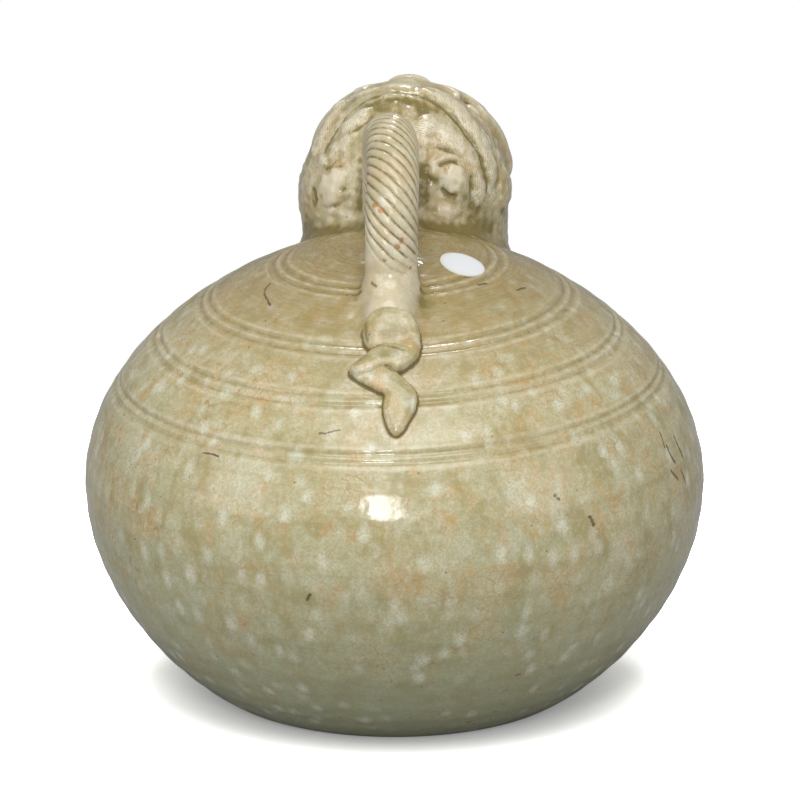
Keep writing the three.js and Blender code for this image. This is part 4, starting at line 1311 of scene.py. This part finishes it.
# How the foot's clay is laid, in millimetres
FOOT_BLOCK = ((-30, 8, 134), (30, 68, 182))
FOOT_TOP = 177  # the smeared clay ends just inside the bar's skin
FOOT_SKIRT = (9, 15)  # as HEAD_SKIRT, from the bar
FOOT_FALL = 17  # the toe leaves the bar so far below its spring
FOOT_TOE = 11.5  # and meets the globe so far behind the bar's middle


class URINAL_OT_foot(bpy.types.Operator):
    """Smears clay round the handle's foot"""
    bl_idname = "urinal.foot"
    bl_label = "Handle Foot"

    def execute(self, context):
        vessel = context.scene.urinal_vessel
        clay = Clay(*FOOT_BLOCK, 0.5)
        x, y, z = clay.everywhere()
        from_bar = np.hypot(x - HANDLE_SHIFT, y - HANDLE_BACK)
        clay.air[:] = from_bar - BAR_RADIUS + 0.3
        ground = globe_clay(x, y, z, vessel)
        clay.join(skirt_clay(ground, smooth_step(from_bar - BAR_RADIUS, *FOOT_SKIRT)), 5)
        *shape, pixels = FOOT_SMEAR
        clay.press(seen(clay.air_at, pixels), *shape)
        toe = HANDLE_BACK + FOOT_TOE
        fall = [(HANDLE_SHIFT, HANDLE_BACK + 2, HANDLE_SPRING - FOOT_FALL),
                (HANDLE_SHIFT, toe, shoulder_height(toe) - 1)]
        where, away, _ = clay.near_path(smooth_path(fall, 1.0), BAR_RADIUS + 6)
        clay.join(away - BAR_RADIUS + 0.5, 4, where)
        relief = 1.4 * clay.relief(1.6) + 1.0 * clay.relief(4)
        for outside in (ground + 3, FOOT_TOP - z, BAR_RADIUS + FOOT_SKIRT[1] + 1.5 - from_bar):
            clay.cut(outside, 0.5)
        points, quads = clay.skin()
        clear = smooth_step(globe_air(points), 0.4, 4)
        relief = clay.sample(relief, points) * smooth_step(points[:, 2], FOOT_TOP + 1, FOOT_TOP - 3)
        relief = luted_relief(relief, clear, points, clay.air_at, FOOT_TONES, vessel)
        material = glaze("celadon_glaze_on_foot", bump_height=0.12, paleness=0.4, mottling=0.9)
        finish_piece("handle_foot_clay", points, quads, material, ["handle_foot"],
                     {"relief": relief, "clear": clear})
        return {"FINISHED"}


# The tail's three folds, from the handle's foot down, as outlines in pixels of the photograph, each with
# how high above the globe the edge shows there, in millimetres
TAIL_FOLDS = {
    "upper": [
        (363, 341, 1), (362.5, 333, 1.5), (364.5, 324, 3), (369, 315, 5), (375, 308, 6.5), (383, 303.5, 7.5),
        (392, 302.5, 8), (403, 304.5, 8), (411.5, 310, 7), (416.5, 318, 5.5), (419.5, 328, 3.5),
        (421, 339, 2.5), (420, 350, 3), (410, 353, 4.5), (403, 350.5, 4.5), (394, 347.5, 4.5),
        (384, 346, 4.5), (376, 349, 4), (370, 350.5, 2.5), (365.5, 347, 1)],
    "middle": [
        (350.5, 376.5, 1), (349.5, 371, 1.5), (352, 366, 2.5), (357.5, 359.5, 3.5), (364, 353.5, 4),
        (371, 348, 4), (384, 342, 4), (400, 342, 4), (420.5, 342, 3), (420.3, 350, 2), (419, 357.5, 1),
        (415, 364, 0.5), (408, 369.5, 0.5), (400, 372.5, 2), (394, 371.5, 3.2), (387, 367.5, 3.2),
        (378, 371, 3), (366, 377, 2), (356, 379.5, 1)],
    "tip": [
        (350.5, 376, 1), (353, 379.5, 0.3), (362, 386, 0), (370, 390.5, 0), (378, 394.5, 0), (384, 397, 0),
        (383.2, 404, 0), (382.8, 411, 0), (384, 419, 0), (386.5, 427, 0), (390, 433.5, 0), (394.3, 437, 0),
        (398.9, 436.5, 0), (405, 430, 0), (410.5, 421, 0), (415, 413, 0.3), (417.5, 403, 0.8),
        (417, 394, 1.5), (411.5, 384, 2.2), (403.5, 376, 2.8), (394, 368, 3), (384, 362, 3), (370, 362, 3)],
}


def wall_place(points):
    """Places on the globe as millimetres round from the back and along the wall."""
    distance, length = wall_table.look_up(np.hypot(points[..., 0], points[..., 1]), points[..., 2])
    radius = np.interp(length, wall.length, wall.line[:, 0])
    return np.arctan2(points[..., 0], points[..., 1]) * radius, length, distance


def inside_outline(u, v, outline):
    """How far places lie inside a closed outline, and below 0 outside it."""
    away = np.full(u.shape, 1e3)
    inside = np.zeros(u.shape, bool)
    for start, end in zip(outline, np.roll(outline, -1, axis=0)):
        along = end - start
        share = np.clip(((u - start[0]) * along[0] + (v - start[1]) * along[1]) / (along @ along), 0, 1)
        away = np.minimum(away, np.hypot(u - start[0] - share * along[0], v - start[1] - share * along[1]))
        crosses = (start[1] > v) != (end[1] > v)
        rise = along[1] if abs(along[1]) > 1e-9 else 1e-9
        inside ^= crosses & (u < start[0] + along[0] * (v - start[1]) / rise)
    return np.where(inside, away, -away)


def rounded(inside, edge):
    """A height share that climbs in a quarter round from the outline inwards."""
    share = np.clip(inside / edge, 0, 1)
    return np.sqrt(1 - (1 - share) ** 2)


def tail_outlines():
    """The outlines of the folds, as places on the wall."""
    outlines = {}
    for name, pixels in TAIL_FOLDS.items():
        places = [seen(lambda points: globe_air(points) - lift, (x, y))[0] for x, y, lift in pixels]
        outline = np.stack(wall_place(np.array(places))[:2], 1)
        outlines[name] = smooth_path(np.vstack([outline, outline[:1]]), 0.8)[:-1]
    return outlines


def inside_tail(u, v):
    """How far inside any fold of the tail places on the wall are."""
    return np.max([inside_outline(u, v, outline) for outline in tail_outlines().values()], axis=0)


# Levels of a fold along its length, from 0 at its top to 1: share and millimetres
TAIL_LEVELS = {
    "upper": ((0, 7.6), (0.18, 8.6), (0.42, 7.0), (0.68, 4.9), (0.88, 5.4), (1, 5.2)),
    "tip": ((0, 3.4), (0.3, 3.7), (0.6, 3.6), (0.85, 3.0), (1, 2.2)),
}
# How a fold's edge is rounded: the share of its height that climbs at once, over how far it does, and over
# how far the rest does
TAIL_EDGES = {"upper": (0.55, 2.2, 8), "middle": (0.6, 1.5, 4.6), "tip": (0.5, 1.2, 5)}


def tail_heights(u, v):
    """How high the folds stand on the wall at places on it, and how far inside any fold they are."""
    heights = np.full(u.shape, -3.0)
    deepest = np.full(u.shape, -1e3)
    for name, outline in tail_outlines().items():
        inside = inside_outline(u, v, outline)
        down = (outline[:, 1].max() - v) / np.ptp(outline[:, 1])
        if name == "middle":
            level = 4.6 + 0.7 * smooth_step(down, 0.2, 0.9)
        else:
            level = np.interp(down, *smooth_path(TAIL_LEVELS[name], 0.05).T)
        if name == "upper":
            level = level - 0.5 * np.clip(u - 4.6 - 2 * down, 0, None)  # it falls towards its left side
        share, sharp, soft = TAIL_EDGES[name]
        height = level * (share * rounded(inside, sharp) + (1 - share) * rounded(inside, soft))
        heights = np.where(inside > 0, np.maximum(heights, height), heights)
        deepest = np.maximum(deepest, inside)
    return heights, deepest


# Thick (below 0) and thin glaze on the tail, with painted shade and painted highlights, as HEAD_TONES gives
# it
TAIL_TONES = (
    (0.7, -1.3, [(376, 307), (383, 303.5), (394, 302.6), (406, 305.5), (413, 313), (418, 328)]),
    (2.8, -0.5, [(380, 335), (392, 332), (404, 332)]),
    # A painted highlight on the top of the upper fold
    (2.2, 0.6, [(386, 317), (394, 313), (402, 315)]),
    (1.6, -0.9, [(366, 326), (366.5, 334), (368, 342)]),
    (0.6, -0.8, [(370, 350), (384, 346), (394, 348), (403, 351)]),
    (1.8, -0.8, [(353, 370), (357, 363), (364, 357)]),
    (0.6, -0.9, [(386, 367), (393, 371), (401, 374)]),
    (2.2, -0.45, [(384, 356), (394, 355)]),
    (1.6, -0.5, [(388, 418), (392, 430)]),
    (1.8, -0.5, [(408, 396), (409, 410), (404, 420)]),
    (2.2, -0.4, [(364, 381), (372, 386)]),
    (0.8, 0.6, [(374, 326), (376, 334), (378, 341)]),
    (1.5, 0.4, [(394, 384), (396, 396), (396, 412)]),
    (1.6, 0.4, [(400, 360), (409, 361)]),
)


TAIL_BLOCK = ((-22, 38, 106), (25, 108, 174))
TAIL_NEAR = (-4, 12)  # the folds are worked out only so far below and above the globe
TAIL_CELL = 0.3  # and on a table with this spacing
TAIL_SKIRT = (2.5, 5)  # as HEAD_SKIRT, from the folds' outlines


class URINAL_OT_tail(bpy.types.Operator):
    """Lays the flattened tail on the shoulder in its three folds"""
    bl_idname = "urinal.tail"
    bl_label = "Folded Tail"

    def execute(self, context):
        vessel = context.scene.urinal_vessel
        step = context.scene.urinal_tail.clay_step / MM
        clay = Clay(*TAIL_BLOCK, step)
        x, y, z = np.broadcast_arrays(*clay.everywhere())
        places = wall_place(np.stack([x, y, z], -1))
        distance = places[2]
        near = (distance > TAIL_NEAR[0]) & (distance < TAIL_NEAR[1])
        ends = [(line[near].min(), line[near].max()) for line in places[:2]]
        cells = (np.arange(low, high + TAIL_CELL, TAIL_CELL) for low, high in ends)
        height, inside = bilinear(tail_heights(*np.meshgrid(*cells, indexing="ij")), *(
            (line - low) / TAIL_CELL for line, (low, _) in zip(places, ends)))
        ground = globe_clay(x, y, z, vessel)
        clay.air[:] = distance - height
        relief = np.minimum(1.6 * clay.relief(1.3), 0.12) + 0.5 * clay.relief(3)
        clay.join(skirt_clay(ground, smooth_step(-inside, *TAIL_SKIRT)), 0.9)
        for outside in (ground + 2, TAIL_SKIRT[1] + 0.6 + inside):
            clay.cut(outside, 0.3)
        points, quads = clay.skin()
        u, v, lift = wall_place(points)
        clear = smooth_step(lift, 0.25, 1.4)
        relief = (clay.sample(relief, points) - 0.3) * clear
        relief = luted_relief(relief, clear, points, clay.air_at, TAIL_TONES, vessel)
        # Glaze gathers thick in the corner round the folds, with painted shade, and a painted shadow lies on
        # the globe just outside them
        edge = inside_tail(u, v)
        pooled = -1.8 * np.exp(-((edge + 0.15) / 0.4) ** 2) - 0.25 * np.exp(-(edge / 2.4) ** 2) * (edge < 0)
        relief += pooled * smooth_step(lift, 2.5, 1)
        material = glaze("celadon_glaze_on_tail", bump_height=0.08, mottling=0.9)
        finish_piece("folded_tail", points, quads, material, ["tail"],
                     {"relief": relief, "clear": clear})
        return {"FINISHED"}


def label_paper():
    """A round gummed paper label: uncoated white paper, matt, with a faint fibre and a yellowed rim."""
    material, add = new_material("uncoated_label_paper")
    # Paper fibre is 0.02 mm wide, drawn 0.4 mm here so that it shows
    fibre = add(NOISE, inputs={
        "Vector": add(PLACE).outputs["Object"], "Scale": per_metre(0.4), "Detail": 3.0})
    rim = add(WRITTEN, {"attribute_name": "rim"}).outputs["Fac"]
    colour = (*linear("#E4E6E8"), 1)
    for share, tone in ((fibre, "#D4D7DB"), (add(MATH, TIMES, (rim, 0.5)), "#C9C2A8")):
        colour = add(MIX, COLOUR, {"Factor": share, "A": colour, "B": (*linear(tone), 1)})
    bump = add(BUMP, inputs={"Strength": 0.5, "Distance": 0.02 * MM, "Height": fibre})
    shader = add("ShaderNodeBsdfPrincipled", inputs={
        "Base Color": colour, "Roughness": 0.75, "Normal": bump})
    add("ShaderNodeOutputMaterial", inputs=(shader,))
    return material


LABEL_PIXEL = (462, 265.5)  # its middle in the photograph
LABEL_RINGS = np.array([0.12, 0.3, 0.5, 0.7, 0.85, 0.95, 1.0])  # shares of its radius
LABEL_COLUMNS = 72
LABEL_PROUD, LABEL_SUNK = 0.26, 0.3  # millimetres above and below the globe


class URINAL_OT_label(bpy.types.Operator):
    """Sticks the bare round paper label on the shoulder"""
    bl_idname = "urinal.label"
    bl_label = "Paper Label"

    def execute(self, context):
        sizes = context.scene.urinal_vessel
        middle = seen(globe_air, LABEL_PIXEL)[0]
        out, rise = wall.at(wall_place(middle[None])[1])[0, 2:]
        normal = np.array([*(middle[:2] / np.linalg.norm(middle[:2]) * out), rise])
        across, up, _ = facing(normal)
        turn = full_turn(LABEL_COLUMNS)[:, None]
        reach = sizes.label_size / MM / 2 * LABEL_RINGS[:, None, None]
        places = (middle + reach * (np.cos(turn) * across + np.sin(turn) * up)).reshape(-1, 3)
        places = np.vstack([places, middle])
        for _ in range(3):
            places = places - globe_air(places)[:, None] * normal
        top, bottom = places + LABEL_PROUD * normal, places - LABEL_SUNK * normal
        top_rings = top[:-1].reshape(len(LABEL_RINGS), -1, 3)[::-1].reshape(-1, 3)
        points = np.vstack([bottom[:-1], top_rings, bottom[-1], top[-1]])
        rim = np.repeat(smooth_step(LABEL_RINGS, 0.8, 1.0), LABEL_COLUMNS)
        finish_piece("paper_label", points, ring_faces(2 * len(LABEL_RINGS), LABEL_COLUMNS), label_paper(),
                     attributes={"rim": np.concatenate([rim, rim[::-1], [0, 0]])})
        return {"FINISHED"}


# The softboxes: azimuth and elevation in degrees, distance and width in metres
SOFTBOXES = {
    "key": (179, 26, 1.7, 0.4),
    "top": (183.6, 62, 1.6, 1.4),
    "left": (121.6, 20, 1.7, 1.0),
    "right": (245.6, 20, 1.7, 1.0),
    "face": (4, 45, 1.8, 0.36),
}
SOFTBOX_AIM = (0, 0, 0.1)
CAMERA_DISTANCE = 8.0
SENSOR_WIDTH = 36  # millimetres


class URINAL_OT_stage(bpy.types.Operator):
    """Sets the pale floor, the softboxes and the camera of the photograph"""
    bl_idname = "urinal.stage"
    bl_label = "Studio"

    def execute(self, context):
        levels = context.scene.urinal_stage
        material, add = new_material("white_studio_paper")
        open_sky = add("ShaderNodeAmbientOcclusion", inputs={"Color": (0.9, 0.9, 0.9, 1), "Distance": 0.03})
        lit = add("ShaderNodeBsdfDiffuse", inputs={"Color": open_sky.outputs["Color"]})
        for _ in range(2):
            lit = add("ShaderNodeAddShader", inputs=(lit, lit))
        lit = add("ShaderNodeAddShader", inputs=(lit, add("ShaderNodeEmission", inputs={"Strength": 0.25})))
        away = add(VECTOR, LENGTH, (add(PLACE).outputs["Object"],)).outputs["Value"]
        far = add(RANGE, SMOOTH, (away, 0.2, 0.4))
        white = add("ShaderNodeEmission", inputs={"Color": (1, 1, 1, 1), "Strength": 1.0})
        lit = add("ShaderNodeMixShader", inputs=(far, lit, white))
        dim = add("ShaderNodeBsdfDiffuse", inputs={"Color": (0.4, 0.4, 0.4, 1)})
        ray = add("ShaderNodeLightPath").outputs["Is Camera Ray"]
        add("ShaderNodeOutputMaterial", inputs=(add("ShaderNodeMixShader", inputs=(ray, dim, lit)),))
        mesh = bpy.data.meshes.new("studio_floor")
        mesh.from_pydata([(4 * math.cos(a), 4 * math.sin(a), 0) for a in full_turn(64)], [], [range(64)])
        mesh.materials.append(material)
        placed("studio_floor", mesh)

        world = bpy.data.worlds.new("white_surround")
        context.scene.world = world
        world.use_nodes = True
        world.node_tree.nodes.clear()
        add = partial(add_node, world.node_tree)
        ray = add("ShaderNodeLightPath").outputs["Is Camera Ray"]
        even = add("ShaderNodeBackground", inputs={"Strength": levels.world})
        white = add("ShaderNodeBackground", inputs={"Color": (1, 1, 1, 1), "Strength": 1.0})
        add("ShaderNodeOutputWorld", inputs=(add("ShaderNodeMixShader", inputs=(ray, even, white)),))

        for name, (azimuth, elevation, distance, width) in SOFTBOXES.items():
            data = bpy.data.lights.new(name + "_softbox", "AREA")
            data.shape = "DISK"
            data.size = width
            data.energy = getattr(levels, name)
            back = direction(math.radians(azimuth), math.radians(elevation))
            aimed(data, back * distance + SOFTBOX_AIM, back)

        context.scene.view_settings.view_transform = "Standard"
        back, right, up = camera_axes()
        data = bpy.data.cameras.new("photo_camera")
        data.sensor_width = SENSOR_WIDTH
        data.lens = SENSOR_WIDTH * CAMERA_DISTANCE / (PICTURE_WIDTH * PIXEL * MM)
        data.clip_end = 60
        middle = PICTURE_WIDTH / 2
        aim = (right * (middle - AXIS_PIXEL[0]) + up * (AXIS_PIXEL[1] - middle)) * PIXEL * MM
        context.scene.camera = aimed(data, aim + back * CAMERA_DISTANCE, back)
        return {"FINISHED"}


def aimed(data, place, back):
    """A lamp or camera at a place, turned so that it looks away from back."""
    item = placed(data.name, data)
    item.location = Vector(place)
    item.rotation_euler = Vector(back).to_track_quat("Z", "Y").to_euler()
    return item


class URINAL_PT_panel(bpy.types.Panel):
    bl_idname = "URINAL_PT_panel"
    bl_label = "Tiger Urinal"
    bl_space_type = "VIEW_3D"
    bl_region_type = "UI"
    bl_category = "Urinal"

    def draw(self, context):
        for group in SETTINGS:
            column = self.layout.column(align=True)
            values = getattr(context.scene, group)
            for name in values.__annotations__:
                column.prop(values, name)
        for operator in OPERATORS:
            self.layout.operator(operator.bl_idname)


SETTINGS = {
    "urinal_vessel": VesselSizes,
    "urinal_head": HeadSizes,
    "urinal_handle": HandleSizes,
    "urinal_tail": TailSizes,
    "urinal_glaze": GlazeColours,
    "urinal_stage": StageLevels,
}
OPERATORS = (
    URINAL_OT_stage, URINAL_OT_globe, URINAL_OT_head, URINAL_OT_handle, URINAL_OT_foot, URINAL_OT_tail,
    URINAL_OT_label,
)


def register():
    for kind in (*SETTINGS.values(), *OPERATORS, URINAL_PT_panel):
        bpy.utils.register_class(kind)
    for name, kind in SETTINGS.items():
        setattr(bpy.types.Scene, name, PointerProperty(type=kind))


def unregister():
    for name in SETTINGS:
        delattr(bpy.types.Scene, name)
    for kind in reversed((*SETTINGS.values(), *OPERATORS, URINAL_PT_panel)):
        bpy.utils.unregister_class(kind)


def main():
    register()
    for operator in OPERATORS:
        group, name = operator.bl_idname.split(".")
        getattr(getattr(bpy.ops, group), name)()


if __name__ == "__main__":
    main()
